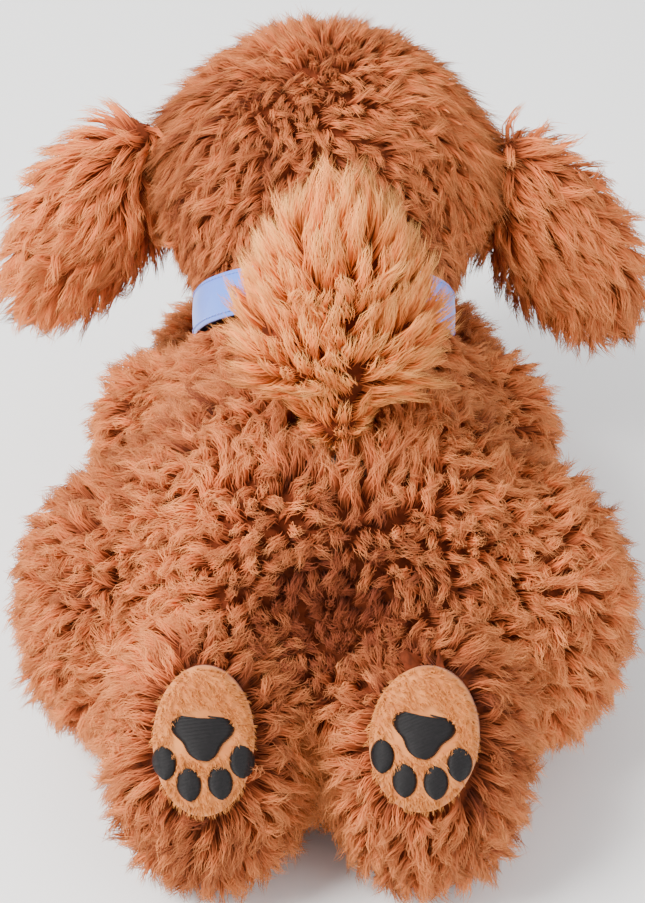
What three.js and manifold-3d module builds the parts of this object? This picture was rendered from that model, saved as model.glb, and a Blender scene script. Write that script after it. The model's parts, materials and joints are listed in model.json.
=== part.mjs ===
// Interactive plush dog lying on its belly: a fur body and head over a battery-powered mechanism.
// The tail wags, the head turns and the mouth opens, each driven by a small gear motor.
// Units are millimetres, +Z is up, the dog faces -Y and its own left side is +X.
// The origin is under the middle of the dog, on the surface that it lies on.
import * as THREE from 'three';
import { mergeVertices } from 'three/addons/utils/BufferGeometryUtils.js';
import Module from 'manifold-3d';

const wasm = await Module();
wasm.setup();

// ---------------------------------------------------------------- driving dimensions
const GAP = 0.3;                 // air between touching pieces
const FUR = 4;                   // thickness of the fur fabric with its pile pressed flat
const LENGTH = 320;              // nose to hind feet
const HALF = LENGTH / 2;

const RUMP = { at: [0, 56, 50], r: [80, 74, 74] };
const CHEST = { at: [0, -20, 54], r: [62, 58, 70] };
const HEAD = { at: [0, -76, 126], r: [61, 58, 57] };
const MUZZLE = { at: [0, -122, 108], r: [33, 34, 27] };
const SKULL = { at: [0, -78, 124], r: [40, 40, 38] };
const HAUNCH = { at: [62, 62, 50], r: [38, 48, 46] };
const SHOULDER = { at: [54, -30, 44], r: [30, 38, 40] };
const PAW = { at: [44, -102, 22], r: [26, 52, 25] };
const FOOT = { y: HALF - 39.3, z: 42, r: [32, 40, 45], x: { left: 35, right: -31 } };
const SOLE = { lift: 42, turn: { left: 0, right: -12 }, depth: 35, thick: 1.6 };
const EAR = {
  x: 83, y: -72, z: { left: 114, right: 107 }, r: [25, 17, 50], lean: 33,
  root: { x: 57, rise: 36 }, swing: [0, 7.5, 15, 22.5, 30, 37.5, 45],
};

const NECK = { at: [0, -36, 96], slope: 43, r: 43, bore: 39 };
const COLLAR = { wall: 2.4, width: 16 };
const TURRET = { r: 31, wall: 2.2, from: -70, to: -14 };
const POST = { r: 10, bore: 6, from: -45, to: 8 };

const CASE = { x: 36, front: -30, back: 78, floor: 3, split: 30, top: 60, wall: 2.2, corner: 8 };
const BAY = { x: 29, front: 16, back: 64, roof: 20.4, wall: 1.8, doorTab: 8 };
const CELL = { r: 7.1, length: 50.5, pitch: 15.6 };          // AA cells
const SPEAKER = { y: -8, r: 16.5, height: 10 };
const SWITCH = { x: 27, y: -10, travel: 4 };
const BACK_SWITCH = { y: 34, z: 92 };
const HEAD_SWITCH = { y: -76, z: 163 };

const MODULE = 1;                // gear module
const PINION_TEETH = 8;
const SECTOR_TEETH = 30;         // full-circle count of the tail and neck sectors
const JAW_TEETH = 24;            // full-circle count of the jaw sector
const MOTOR = { r: 7.75, length: 20 };
const TAIL = { at: [-4, 66, 108], lean: 14, flat: 0.78 };
const JAW = { at: [0, -92, 100], halfWidth: 12, drive: 45, mouth: 99.5, chin: 95.5 };
const EYE = { x: 21, z: 142, r: 7.5 };

const FINE = 16;                 // sides of the body, head and neck
const PLAIN = 12;                // sides of the legs and ears
const HIDDEN = 8;                // sides of linings, stuffing and the skull

const rad = THREE.MathUtils.degToRad;
const SIDES = { left: 1, right: -1 };

// ---------------------------------------------------------------- solids and transforms
// A closed three.js geometry as a solid, with its faces pointing out.
function solid(geometry) {
  const bare = geometry.clone();
  for (const name of Object.keys(bare.attributes)) {
    if (name !== 'position') bare.deleteAttribute(name);
  }
  const merged = mergeVertices(bare, 1e-4);
  const vertProperties = new Float32Array(merged.attributes.position.array);
  const index = merged.index.array;
  const corner = (i) => new THREE.Vector3().fromArray(vertProperties, 3 * i);
  const faces = [];
  let volume = 0;
  for (let i = 0; i < index.length; i += 3) {
    const [a, b, c] = [index[i], index[i + 1], index[i + 2]];
    if (a === b || b === c || c === a) continue;
    faces.push([a, b, c]);
    volume += corner(a).dot(corner(b).cross(corner(c)));
  }
  const turned = volume < 0 ? faces.map(([a, b, c]) => [a, c, b]) : faces;
  const triVerts = new Uint32Array(turned.flat());
  return new wasm.Manifold(new wasm.Mesh({ numProp: 3, vertProperties, triVerts }));
}

function geometryOf(manifold) {
  const mesh = manifold.getMesh();
  const geometry = new THREE.BufferGeometry();
  geometry.setAttribute('position', new THREE.BufferAttribute(mesh.vertProperties, 3));
  geometry.setIndex(new THREE.BufferAttribute(mesh.triVerts, 1));
  geometry.computeVertexNormals();
  return geometry;
}

const join = (...parts) => parts.reduce((whole, part) => whole.add(part));
const cut = (body, ...tools) => tools.reduce((left, tool) => left.subtract(tool), body);

// Local frames: the neck's +Z runs up the neck; a spindle's +Z runs along the given axis.
const neckAxis = new THREE.Vector3(0, -Math.cos(rad(NECK.slope)), Math.sin(rad(NECK.slope)));
const neckFrame = new THREE.Matrix4()
  .makeRotationX(rad(90 - NECK.slope))
  .setPosition(...NECK.at);

function frameAlong(axis, at) {
  const turn = new THREE.Quaternion().setFromUnitVectors(new THREE.Vector3(0, 0, 1), axis);
  return new THREE.Matrix4().makeRotationFromQuaternion(turn).setPosition(...at);
}

const alongX = (at) => frameAlong(new THREE.Vector3(1, 0, 0), at);
const alongY = (at) => frameAlong(new THREE.Vector3(0, 1, 0), at);
const placed = (geometry, frame) => geometry.clone().applyMatrix4(frame);

// ---------------------------------------------------------------- basic shapes
function ellipsoid({ at, r }, grow = 0, fineness = FINE, turn = new THREE.Matrix4()) {
  const rows = Math.round(fineness * 0.6);
  const ball = new THREE.SphereGeometry(1, fineness, rows);
  ball.rotateX(Math.PI / 2);
  ball.scale(r[0] + grow, r[1] + grow, r[2] + grow);
  ball.applyMatrix4(turn);
  ball.translate(...at);
  return solid(ball);
}

function box(low, high) {
  const size = high.map((value, i) => value - low[i]);
  const block = new THREE.BoxGeometry(...size);
  block.translate(...low.map((value, i) => value + size[i] / 2));
  return block;
}

// A disc or tube about local Z, between two heights.
function tube(outer, inner, from, to, sides = 20) {
  const profile = inner > 0
    ? [[inner, from], [outer, from], [outer, to], [inner, to], [inner, from]]
    : [[0, from], [outer, from], [outer, to], [0, to]];
  return turned(profile, sides);
}

// A profile of [radius, height] turned about local Z.
function turned(profile, sides = 20) {
  const lathe = new THREE.LatheGeometry(profile.map(([x, y]) => new THREE.Vector2(x, y)), sides);
  lathe.rotateX(Math.PI / 2);
  return lathe;
}

function extruded(shape, from, to, curveSegments = 3) {
  const options = { depth: to - from, bevelEnabled: false, curveSegments };
  const block = new THREE.ExtrudeGeometry(shape, options);
  block.translate(0, 0, from);
  return block;
}

function roundedRect(x0, y0, x1, y1, r) {
  const shape = new THREE.Shape();
  shape.absarc(x1 - r, y0 + r, r, -Math.PI / 2, 0);
  shape.absarc(x1 - r, y1 - r, r, 0, Math.PI / 2);
  shape.absarc(x0 + r, y1 - r, r, Math.PI / 2, Math.PI);
  shape.absarc(x0 + r, y0 + r, r, Math.PI, 1.5 * Math.PI);
  shape.closePath();
  return shape;
}

const aboveFloor = solid(box([-200, -200, 0], [200, 200, 260]));
const FAR = 200;

// ---------------------------------------------------------------- gears
// Straight-flanked teeth, thin enough at the pitch line to leave backlash for a moulded toy gear.
const ROOT = 1.25;
const TIP = 0.9;
const ROOT_HALF = 0.26;          // half tooth width at the root, in pitches
const TIP_HALF = 0.11;           // half tooth width at the tip, in pitches

function toothPoints(teeth, angle) {
  const pitch = 2 * Math.PI / teeth;
  const root = MODULE * (teeth / 2 - ROOT);
  const tip = MODULE * (teeth / 2 + TIP);
  const corners = [[root, -ROOT_HALF], [tip, -TIP_HALF], [tip, TIP_HALF], [root, ROOT_HALF]];
  return corners.map(([r, side]) => {
    const turn = angle + side * pitch;
    return new THREE.Vector2(r * Math.cos(turn), r * Math.sin(turn));
  });
}

function pinionShape(firstAngle) {
  const points = [];
  for (let i = 0; i < PINION_TEETH; i += 1) {
    points.push(...toothPoints(PINION_TEETH, firstAngle + i * 2 * Math.PI / PINION_TEETH));
  }
  return new THREE.Shape(points);
}

// Part of a gear: an odd number of teeth about a middle direction, tapering back to a round hub.
function sectorShape(teeth, middle, toothCount, hub) {
  const pitch = 2 * Math.PI / teeth;
  const reach = (toothCount / 2) * pitch;
  const points = [];
  for (let i = 0; i < toothCount; i += 1) {
    points.push(...toothPoints(teeth, middle + (i - (toothCount - 1) / 2) * pitch));
  }
  const steps = 12;
  const rest = 2 * Math.PI - 2 * reach;
  for (let i = 0; i <= steps; i += 1) {
    const turn = middle + reach + rest * i / steps;
    points.push(new THREE.Vector2(hub * Math.cos(turn), hub * Math.sin(turn)));
  }
  return new THREE.Shape(points);
}

// A gear motor: a round can with two flats, a front boss and two terminals, shaft side at local 0.
function gearMotor() {
  const can = solid(tube(MOTOR.r, 0, -MOTOR.length, -1, 16));
  const flats = solid(box([-MOTOR.r, -6.2, -MOTOR.length], [MOTOR.r, 6.2, -1]));
  const boss = solid(tube(3, 0, -1.2, 0, 12));
  const back = solid(tube(2.4, 0, -MOTOR.length - 1.4, -MOTOR.length + 0.2, 10));
  return geometryOf(join(can.intersect(flats), boss, back));
}

// A pinion with its shaft stub reaching towards the motor.
function pinion(width, shaft, firstAngle) {
  const gear = solid(extruded(pinionShape(firstAngle), 0, width));
  const stub = solid(tube(1.1, 0, -shaft, width / 2, 8));
  return geometryOf(join(gear, stub));
}

// ---------------------------------------------------------------- materials
function material(colour, roughness, metalness = 0) {
  return new THREE.MeshStandardMaterial({ color: colour, roughness, metalness });
}

const furLook = () => material(0xb66c4c, 0.95);
const tailLook = () => material(0xd08a5e, 0.95);
const stuffingLook = () => material(0xf1efe8, 1);
const soleLook = () => material(0xc88c62, 0.9);
const collarLook = () => material(0xb4c1e1, 0.6);
const hemLook = () => material(0x8a5238, 0.9);
const caseLook = () => material(0x3a3a3d, 0.55);
const skullLook = () => material(0xd9d6cd, 0.5);
const gearLook = () => material(0xf2efe6, 0.45);
const motorLook = () => material(0xb9bcc0, 0.35, 0.9);
const steelLook = () => material(0xc4c6c8, 0.3, 1);
const boardLook = () => material(0x1f6b3a, 0.5);
const cellLook = () => material(0x4a7f5b, 0.4, 0.3);
const glossBlack = () => material(0x0b0907, 0.08);
const tongueLook = () => material(0xd9808a, 0.85);

const dog = new THREE.Group();

function addTo(parent, name, geometry, look) {
  const mesh = new THREE.Mesh(geometry, look);
  mesh.name = name;
  parent.add(mesh);
  return mesh;
}

const add = (name, geometry, look) => addTo(dog, name, geometry, look);

// ---------------------------------------------------------------- fur body
const neckTube = (r, from, to) => solid(placed(tube(r, 0, from, to, FINE), neckFrame));
const beyondNeck = (s) => solid(placed(box([-FAR, -FAR, s], [FAR, FAR, FAR]), neckFrame));
const belowNeck = (s) => solid(placed(box([-FAR, -FAR, -FAR], [FAR, FAR, s]), neckFrame));
const SEAM = 0.5;                // half the gap between body and head fabric, under the collar
const HEMMED = COLLAR.width / 2 + 4;
const groove = solid(placed(
  tube(90, NECK.r - 0.2, -COLLAR.width / 2 - 1, COLLAR.width / 2 + 1, FINE), neckFrame));

function bodyForm(grow, fineness = FINE, end = SEAM) {
  const lumps = join(ellipsoid(RUMP, grow, fineness), ellipsoid(CHEST, grow, fineness),
    neckTube(NECK.r + grow, -40, 0));
  return lumps.subtract(beyondNeck(-end));
}

const floorUp = (height) => solid(box([-FAR, -FAR, height], [FAR, FAR, 260]));
const BELLY = { x: 42, front: -36, back: 84 };
const bellyShape = roundedRect(-BELLY.x, BELLY.front, BELLY.x, BELLY.back, CASE.corner + 6);
const tailSlot = solid(box(
  [TAIL.at[0] - 12, TAIL.at[1] - 8, TAIL.at[2]], [TAIL.at[0] + 12, TAIL.at[1] + 8, 140]));

function bodyCover() {
  const outer = bodyForm(0).subtract(groove).intersect(aboveFloor);
  const lining = join(bodyForm(-FUR, HIDDEN, HEMMED), neckTube(NECK.bore, -40, 1))
    .intersect(floorUp(FUR));
  const belly = solid(extruded(bellyShape, -5, CASE.split));
  return geometryOf(cut(outer, lining, belly, tailSlot));
}

function bodyStuffing() {
  const filling = join(bodyForm(-FUR - GAP, HIDDEN, HEMMED + GAP),
    neckTube(NECK.bore - GAP, -40, -3)).intersect(floorUp(FUR + GAP));
  const caseRoom = solid(box(
    [-CASE.x - 6, CASE.front - 6, -5], [CASE.x + 6, CASE.back + 6, CASE.top + 1]));
  const turretRoom = neckTube(TURRET.r + 1, TURRET.from - 10, 5);
  const tailRoom = solid(box(
    [TAIL.at[0] - 19, TAIL.at[1] - 11, 40], [TAIL.at[0] + 19, TAIL.at[1] + 36, 125]));
  const tailWay = solid(box(
    [TAIL.at[0] - 14, TAIL.at[1] - 11, 100], [TAIL.at[0] + 14, TAIL.at[1] + 11, 140]));
  const switchRoom = solid(tube(14, 0, BACK_SWITCH.z - 1, 140, 16).translate(0, BACK_SWITCH.y, 0));
  return geometryOf(cut(filling, caseRoom, turretRoom, tailRoom, tailWay, switchRoom));
}

function bellyHem() {
  const frame = roundedRect(-BELLY.x + GAP, BELLY.front + GAP, BELLY.x - GAP, BELLY.back - GAP,
    CASE.corner + 5.7);
  frame.holes.push(roundedRect(-CASE.x - GAP, CASE.front - GAP, CASE.x + GAP, CASE.back + GAP,
    CASE.corner + GAP));
  return extruded(frame, 0.8, 3.6);
}

add('body_cover', bodyCover(), furLook());
add('body_stuffing', bodyStuffing(), stuffingLook());
add('belly_hem', bellyHem(), hemLook());

// ---------------------------------------------------------------- legs and soles
const mirrorX = (part, side) => ({ at: [part.at[0] * side, part.at[1], part.at[2]], r: part.r });
const coverEdge = bodyForm(GAP + 0.1);

function soleNormal(name) {
  const [lift, turn] = [rad(SOLE.lift), rad(SOLE.turn[name])];
  const back = Math.cos(lift);
  return new THREE.Vector3(-back * Math.sin(turn), back * Math.cos(turn), Math.sin(lift));
}

function footAt(name) {
  return { at: [FOOT.x[name], FOOT.y, FOOT.z], r: FOOT.r };
}

// Everything of the foot that lies further out than the given depth along the sole's normal.
function soleCap(name, depth, far = FAR) {
  const slab = box([-60, -60, depth], [60, 60, far]);
  return solid(placed(slab, frameAlong(soleNormal(name), footAt(name).at)));
}

for (const [name, side] of Object.entries(SIDES)) {
  const foot = ellipsoid(footAt(name), 0, PLAIN);
  const hindLeg = join(ellipsoid(mirrorX(HAUNCH, side), 0, PLAIN), foot);
  const trimmed = cut(hindLeg, coverEdge, soleCap(name, SOLE.depth)).intersect(aboveFloor);
  add(`hind_leg_${name}`, geometryOf(trimmed), furLook());

  const solePatch = foot.intersect(
    soleCap(name, SOLE.depth + GAP, SOLE.depth + GAP + SOLE.thick));
  add(`hind_sole_${name}`, geometryOf(solePatch), soleLook());

  const frontLeg = join(
    ellipsoid(mirrorX(SHOULDER, side), 0, PLAIN), ellipsoid(mirrorX(PAW, side), 0, PLAIN));
  add(`front_leg_${name}`,
    geometryOf(cut(frontLeg, coverEdge, groove).intersect(aboveFloor)), furLook());
}

// ---------------------------------------------------------------- mechanism case
const inCase = (inset) => roundedRect(-CASE.x + inset, CASE.front + inset,
  CASE.x - inset, CASE.back - inset, CASE.corner - inset);
const DOOR_SCREW_Y = BAY.back + 4.5;
const SCREW_PLACES = [[-27, -21], [27, -21], [-30.5, 9], [30.5, 9]];

function caseLower() {
  const shell = solid(extruded(inCase(0), CASE.floor, CASE.split))
    .subtract(solid(extruded(inCase(CASE.wall), CASE.floor + CASE.wall, CASE.split + 1)));
  const w = BAY.wall;
  const bayWalls = solid(box(
    [-BAY.x - w, BAY.front - w, CASE.floor], [BAY.x + w, BAY.back + w, BAY.roof + w]));
  const bay = solid(box([-BAY.x, BAY.front, -1], [BAY.x, BAY.back, BAY.roof]));
  const doorEdge = solid(box([-BAY.x - 1.2, BAY.front - 1.2, -1],
    [BAY.x + 1.2, BAY.back + BAY.doorTab + 0.4, CASE.floor + 1.8]));
  const boss = solid(tube(4, 0, CASE.floor, 13, 10).translate(0, DOOR_SCREW_Y, 0));
  const pilot = solid(tube(1.9, 0, 0, 12, 8).translate(0, DOOR_SCREW_Y, 0));
  const standOffs = [-24, 24].map((x) => solid(
    tube(2.5, 0, BAY.roof, BAY.roof + 4.2, 8).translate(x, 40, 0)));
  const soundHoles = [];
  for (let i = 0; i < 6; i += 1) {
    const turn = i * Math.PI / 3;
    soundHoles.push(solid(tube(1.8, 0, -1, 10, 6)
      .translate(8 * Math.cos(turn), SPEAKER.y + 8 * Math.sin(turn), 0)));
  }
  const slot = solid(box([SWITCH.x - 3, SWITCH.y - 4.5, -1],
    [SWITCH.x + 3, SWITCH.y + 4.5 + SWITCH.travel, 10]));
  return geometryOf(cut(join(shell, bayWalls, boss, ...standOffs), bay, doorEdge, pilot, slot,
    ...soundHoles));
}

function caseUpper() {
  const from = CASE.split + GAP;
  const turretEnd = TURRET.to;
  const outer = join(
    solid(extruded(inCase(0), from, CASE.top)),
    neckTube(TURRET.r, TURRET.from, turretEnd)).intersect(floorUp(from));
  const inner = join(
    solid(extruded(inCase(CASE.wall), from - 1, CASE.top - CASE.wall)),
    neckTube(TURRET.r - TURRET.wall, TURRET.from + 2, turretEnd - TURRET.wall));
  const bearingSeat = neckTube(POST.r + 4.6, turretEnd - 6, turretEnd + 3);
  const [x, y, z] = TAIL.at;
  const cheeks = [y - 9, y + 5].map((start) => solid(box(
    [x - 11, start, CASE.top - 1], [x + 11, start + 3, z + 4])));
  const axleHoles = solid(placed(tube(2.5, 0, -12, 12, 10), alongY(TAIL.at)));
  const shaftHole = solid(placed(tube(1.8, 0, 0, 12, 10),
    alongY([x, y, z - (SECTOR_TEETH + PINION_TEETH) / 2 * MODULE])));
  return geometryOf(cut(join(cut(outer, inner, bearingSeat), ...cheeks), axleHoles, shaftHole));
}

add('case_lower', caseLower(), caseLook());
add('case_upper', caseUpper(), caseLook());

// ---------------------------------------------------------------- batteries, door and contacts
function batteryDoor() {
  const plate = solid(box([-BAY.x - 0.8, BAY.front - 0.8, CASE.floor],
    [BAY.x + 0.8, BAY.back + BAY.doorTab, CASE.floor + 1.5]));
  const screwHole = solid(tube(1.9, 0, 0, 10, 10).translate(0, DOOR_SCREW_Y, 0));
  return geometryOf(cut(plate, screwHole));
}

// A pan-head screw standing on its head, with a cross recess; its head's underside is local 0.
function screw(headR, headH, shankR, length) {
  const body = solid(turned(
    [[0, -headH], [headR, -headH], [headR, 0], [shankR, 0], [shankR, length], [0, length]], 8));
  const slots = [0, 1].map((i) => solid(box(
    i ? [-0.4, -1.4, -headH - 1] : [-1.4, -0.4, -headH - 1],
    i ? [0.4, 1.4, -headH / 2] : [1.4, 0.4, -headH / 2])));
  return geometryOf(cut(body, ...slots));
}

function cell() {
  return turned([[0, 0], [CELL.r, 0], [CELL.r, CELL.length - 1.2], [2.6, CELL.length - 1.2],
    [2.6, CELL.length], [0, CELL.length]], 14);
}

function contactSpring() {
  const turns = 2;
  const steps = 12;
  const points = [];
  for (let i = 0; i <= steps; i += 1) {
    const turn = turns * 2 * Math.PI * i / steps;
    const r = 4.2 - 1.6 * i / steps;
    points.push(new THREE.Vector3(r * Math.cos(turn), r * Math.sin(turn), 2 * i / steps));
  }
  const wire = new THREE.Shape();
  wire.absarc(0, 0, 0.3, 0, 2 * Math.PI);
  return new THREE.ExtrudeGeometry(wire, {
    steps, curveSegments: 2, bevelEnabled: false, extrudePath: new THREE.CatmullRomCurve3(points),
  });
}

const bayMiddle = (BAY.front + BAY.back) / 2;
const cellZ = CASE.floor + 1.8 + CELL.r + 0.3;
add('battery_door', batteryDoor(), caseLook());
const doorScrew = add('door_screw', screw(1.6, 1, 1.2, 6), steelLook());
doorScrew.position.set(0, DOOR_SCREW_Y, CASE.floor + 1.3);

for (let i = 0; i < 3; i += 1) {
  const flip = i % 2 ? -1 : 1;
  const y = bayMiddle + (i - 1) * CELL.pitch;
  const battery = add(`battery_${i + 1}`, cell(), cellLook());
  battery.rotation.y = flip * Math.PI / 2;
  battery.position.set(-flip * CELL.length / 2, y, cellZ);
  const spring = add(`battery_spring_${i + 1}`, contactSpring(), steelLook());
  spring.rotation.y = flip * Math.PI / 2;
  spring.position.set(-flip * (CELL.length / 2 + 2.65), y, cellZ);
}

for (const [name, side] of Object.entries(SIDES)) {
  const x = side * (BAY.x - 0.35);
  const strip = box([x - 0.25, BAY.front + 1, CASE.floor + 3], [x + 0.25, BAY.back - 1, 18]);
  add(`battery_contact_${name}`, strip, steelLook());
}

// ---------------------------------------------------------------- electronics and switches
function controlBoard() {
  const z = BAY.roof + 4.5;
  const board = solid(box([-27, 22, z], [27, 60, z + 1.6]));
  const chips = [[-12, 30, 10, 2], [10, 34, 6, 1.6], [14, 50, 8, 3], [-14, 50, 5, 3.2]];
  return geometryOf(join(board, ...chips.map(([x, y, size, height]) => solid(
    box([x - size / 2, y - size / 2, z + 1], [x + size / 2, y + size / 2, z + 1.6 + height])))));
}

function speaker() {
  const z = CASE.floor + CASE.wall + GAP;
  const top = z + SPEAKER.height;
  return turned([[0, z + 2.5], [6, z + 2], [14, z + 0.4], [14, z], [SPEAKER.r, z],
    [SPEAKER.r, z + 1.4], [9.5, top - 4.5], [9.5, top], [0, top]], 18)
    .translate(0, SPEAKER.y, 0);
}

function switchSlider() {
  const { x, y } = SWITCH;
  const inside = CASE.floor + CASE.wall + GAP;
  const knob = solid(box([x - 2.5, y - 4, CASE.floor - 1.2], [x + 2.5, y + 4, inside + 1]));
  const flange = solid(box([x - 4, y - 6, inside], [x + 4, y + 6, inside + 1.6]));
  return geometryOf(join(knob, flange));
}

function pressSwitchCup() {
  return turned([[0, 0], [12, 0], [12, 7], [10, 7], [10, 2], [0, 2]], 16);
}

function pressButton() {
  return turned([[0, 3.6], [9.5, 3.6], [9.5, 10], [8, 11.4], [0, 12]], 16);
}

add('control_board', controlBoard(), boardLook());
add('speaker', speaker(), material(0x222222, 0.6));
add('power_switch_slider', switchSlider(), material(0x1c1c1e, 0.5));
const switchTop = CASE.floor + CASE.wall + 2 * GAP + 1.6;
add('power_switch_body', box([SWITCH.x - 4.5, SWITCH.y - 6, switchTop],
  [SWITCH.x + 4.5, SWITCH.y + 8, switchTop + 5]), material(0x88898c, 0.5));

const pressSwitches = { back: BACK_SWITCH, head: HEAD_SWITCH };
for (const [name, place] of Object.entries(pressSwitches)) {
  const unit = new THREE.Group();
  unit.position.set(0, place.y, place.z);
  dog.add(unit);
  addTo(unit, `${name}_switch_cup`, pressSwitchCup(), skullLook());
  addTo(unit, `${name}_switch_button`, pressButton(), gearLook());
}

// ---------------------------------------------------------------- case screws
SCREW_PLACES.forEach(([x, y], i) => {
  const fastener = add(`case_screw_${i + 1}`, screw(2.4, 1.6, 1.3, 16), steelLook());
  fastener.position.set(x, y, CASE.floor + CASE.wall + GAP + 1.6);
});

// ---------------------------------------------------------------- tail and its drive
const driveGap = (SECTOR_TEETH + PINION_TEETH) / 2 * MODULE;
const PIN_R = 2;

function tailLever() {
  const sector = extruded(sectorShape(SECTOR_TEETH, Math.PI / 2, 9, 6), -3.4, 3.4);
  const hub = tube(6, 0, -3.4, 3.4, 12);
  const arm = box([-3, -46, -2.5], [3, 0, 2.5]);
  const lever = join(solid(sector), solid(hub), solid(arm));
  const bore = solid(tube(PIN_R + 0.3, 0, -6, 6, 12));
  return geometryOf(cut(lever, bore));
}

function tailPlush() {
  const profile = [[0, 19.5], [4, 20], [14, 24], [24, 31], [31, 45], [33, 60], [27, 77], [15, 88],
    [0, 92]];
  const plume = turned(profile, 16);
  plume.scale(1, TAIL.flat, 1);
  plume.rotateX(rad(TAIL.lean));
  const armRoom = box([-3.4, -2.9, -1], [3.4, 2.9, 46.6]);
  return geometryOf(cut(solid(plume), solid(armRoom)));
}

const tailUnit = new THREE.Group();
tailUnit.position.set(...TAIL.at);
dog.add(tailUnit);
addTo(tailUnit, 'tail_plush', tailPlush(), tailLook());
const lever = addTo(tailUnit, 'tail_lever', tailLever(), gearLook());
lever.rotation.x = -Math.PI / 2;
const tailPin = addTo(tailUnit, 'tail_pin', tube(PIN_R, 0, -10, 10, 10), steelLook());
tailPin.rotation.x = -Math.PI / 2;
const tailDrive = addTo(tailUnit, 'tail_pinion',
  pinion(6.4, 5.6, -Math.PI / 2 + Math.PI / PINION_TEETH), gearLook());
tailDrive.rotation.x = Math.PI / 2;
tailDrive.position.set(0, 3.2, -driveGap);
const tailMotor = addTo(tailUnit, 'tail_motor', gearMotor(), motorLook());
tailMotor.rotation.x = Math.PI / 2;
tailMotor.position.set(0, 9.2, -driveGap);

// ---------------------------------------------------------------- neck and its drive
const neckUnit = new THREE.Group();
neckFrame.decompose(neckUnit.position, neckUnit.quaternion, neckUnit.scale);
dog.add(neckUnit);

function neckPost() {
  const post = solid(turned([[POST.bore, POST.from], [POST.r, POST.from], [POST.r, POST.to - 3],
    [17, POST.to - 3], [17, POST.to], [POST.bore, POST.to], [POST.bore, POST.from]], 20));
  const sector = extruded(sectorShape(SECTOR_TEETH, 0, 9, POST.r - 1), -41, -36);
  const bore = solid(tube(POST.bore, 0, -60, 20, 20));
  return geometryOf(cut(join(post, solid(sector)), bore));
}

addTo(neckUnit, 'neck_post', neckPost(), gearLook());
addTo(neckUnit, 'neck_bearing',
  tube(POST.r + 4.2, POST.r + 0.5, TURRET.to - 5, TURRET.to + 1, 20), gearLook());
const neckDrive = addTo(neckUnit, 'neck_pinion',
  pinion(6, 3, Math.PI + Math.PI / PINION_TEETH), gearLook());
neckDrive.position.set(driveGap, 0, -41.5);
const neckMotor = addTo(neckUnit, 'neck_motor', gearMotor(), motorLook());
neckMotor.position.set(driveGap, 0, -44.8);

// ---------------------------------------------------------------- collar
addTo(neckUnit, 'collar', tube(NECK.r + 0.6 + COLLAR.wall, NECK.r + 0.6,
  -COLLAR.width / 2, COLLAR.width / 2, 20), collarLook());

// ---------------------------------------------------------------- skull
const splitY = -84;
const behind = solid(box([-FAR, splitY + GAP / 2, -FAR], [FAR, FAR, FAR]));
const ahead = solid(box([-FAR, -FAR, -FAR], [FAR, splitY - GAP / 2, FAR]));
const postRoom = neckTube(17.6, -10, POST.to + GAP);
const jawPinRoom = solid(placed(tube(1.9, 0, -50, 50, 10), alongX(JAW.at)));
const jawWay = join(
  solid(box([-JAW.halfWidth - 3, -FAR, 60], [JAW.halfWidth + 3, splitY + 1, 106])),
  solid(box([-20, -FAR, 60], [20, splitY + 1, JAW.chin + 1])));
const skullWall = 2.2;

function skull() {
  return cut(ellipsoid(SKULL, 0, HIDDEN), ellipsoid(SKULL, -skullWall, HIDDEN), postRoom);
}

// Where each eye sits on the head, and the way it looks.
function eyeFrame(side, sink) {
  const dx = EYE.x / HEAD.r[0];
  const dz = (EYE.z - HEAD.at[2]) / HEAD.r[2];
  const dy = -Math.sqrt(1 - dx * dx - dz * dz);
  const out = new THREE.Vector3(side * dx / HEAD.r[0], dy / HEAD.r[1], dz / HEAD.r[2]).normalize();
  const at = new THREE.Vector3(side * EYE.x, HEAD.at[1] + dy * HEAD.r[1], EYE.z);
  at.addScaledVector(out, -sink);
  return frameAlong(out, at.toArray());
}

const NOSE = { at: [0, -HALF + 6, 117], r: [9, 6, 7] };
const eyeRooms = Object.values(SIDES).map((side) => join(
  solid(placed(tube(EYE.r + 0.6, 0, 0, 12, 14), eyeFrame(side, 1.8))),
  solid(placed(tube(2.9, 0, -14, 1, 10), eyeFrame(side, 1.8)))));

add('skull_rear', geometryOf(skull().intersect(behind)), skullLook());
add('skull_front', geometryOf(cut(skull().intersect(ahead), jawWay, jawPinRoom)), skullLook());

// ---------------------------------------------------------------- head cover and stuffing
const mouthRoom = solid(box([-26, -FAR, 40], [26, JAW.at[1], JAW.mouth]));

function headForm(grow, fineness = FINE, end = SEAM) {
  return join(ellipsoid(HEAD, grow, fineness), ellipsoid(MUZZLE, grow, fineness),
    neckTube(NECK.r + grow, 0, 40)).subtract(belowNeck(end));
}

function headCover() {
  const lining = join(headForm(-FUR, HIDDEN, HEMMED), neckTube(NECK.bore, -1, 40));
  const noseRoom = ellipsoid(NOSE, 0.5, HIDDEN);
  return geometryOf(cut(headForm(0).subtract(groove), lining, mouthRoom, noseRoom, ...eyeRooms));
}

function headStuffing() {
  const filling = join(headForm(-FUR - GAP, HIDDEN, HEMMED + GAP),
    neckTube(NECK.bore - GAP, 3, 40));
  const postWay = neckTube(POST.r + 9, -10, 30);
  const switchRoom = solid(tube(13, 0, HEAD_SWITCH.z - 1, 200, 16).translate(0, HEAD_SWITCH.y, 0));
  const noseRoom = ellipsoid(NOSE, 1, HIDDEN);
  return geometryOf(cut(filling, jawPinRoom, postWay, ellipsoid(SKULL, 1.6, HIDDEN), mouthRoom,
    switchRoom, noseRoom, ...eyeRooms));
}

add('head_cover', headCover(), furLook());
add('head_stuffing', headStuffing(), stuffingLook());

// ---------------------------------------------------------------- eyes and nose
function eye(side) {
  const dome = turned([[0, -12], [2.5, -12], [2.5, 0], [EYE.r, 0], [EYE.r, 1.6],
    [EYE.r * 0.87, 4.4], [EYE.r * 0.5, 6.4], [0, 7]], 14);
  return placed(dome, eyeFrame(side, 1.2));
}

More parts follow.
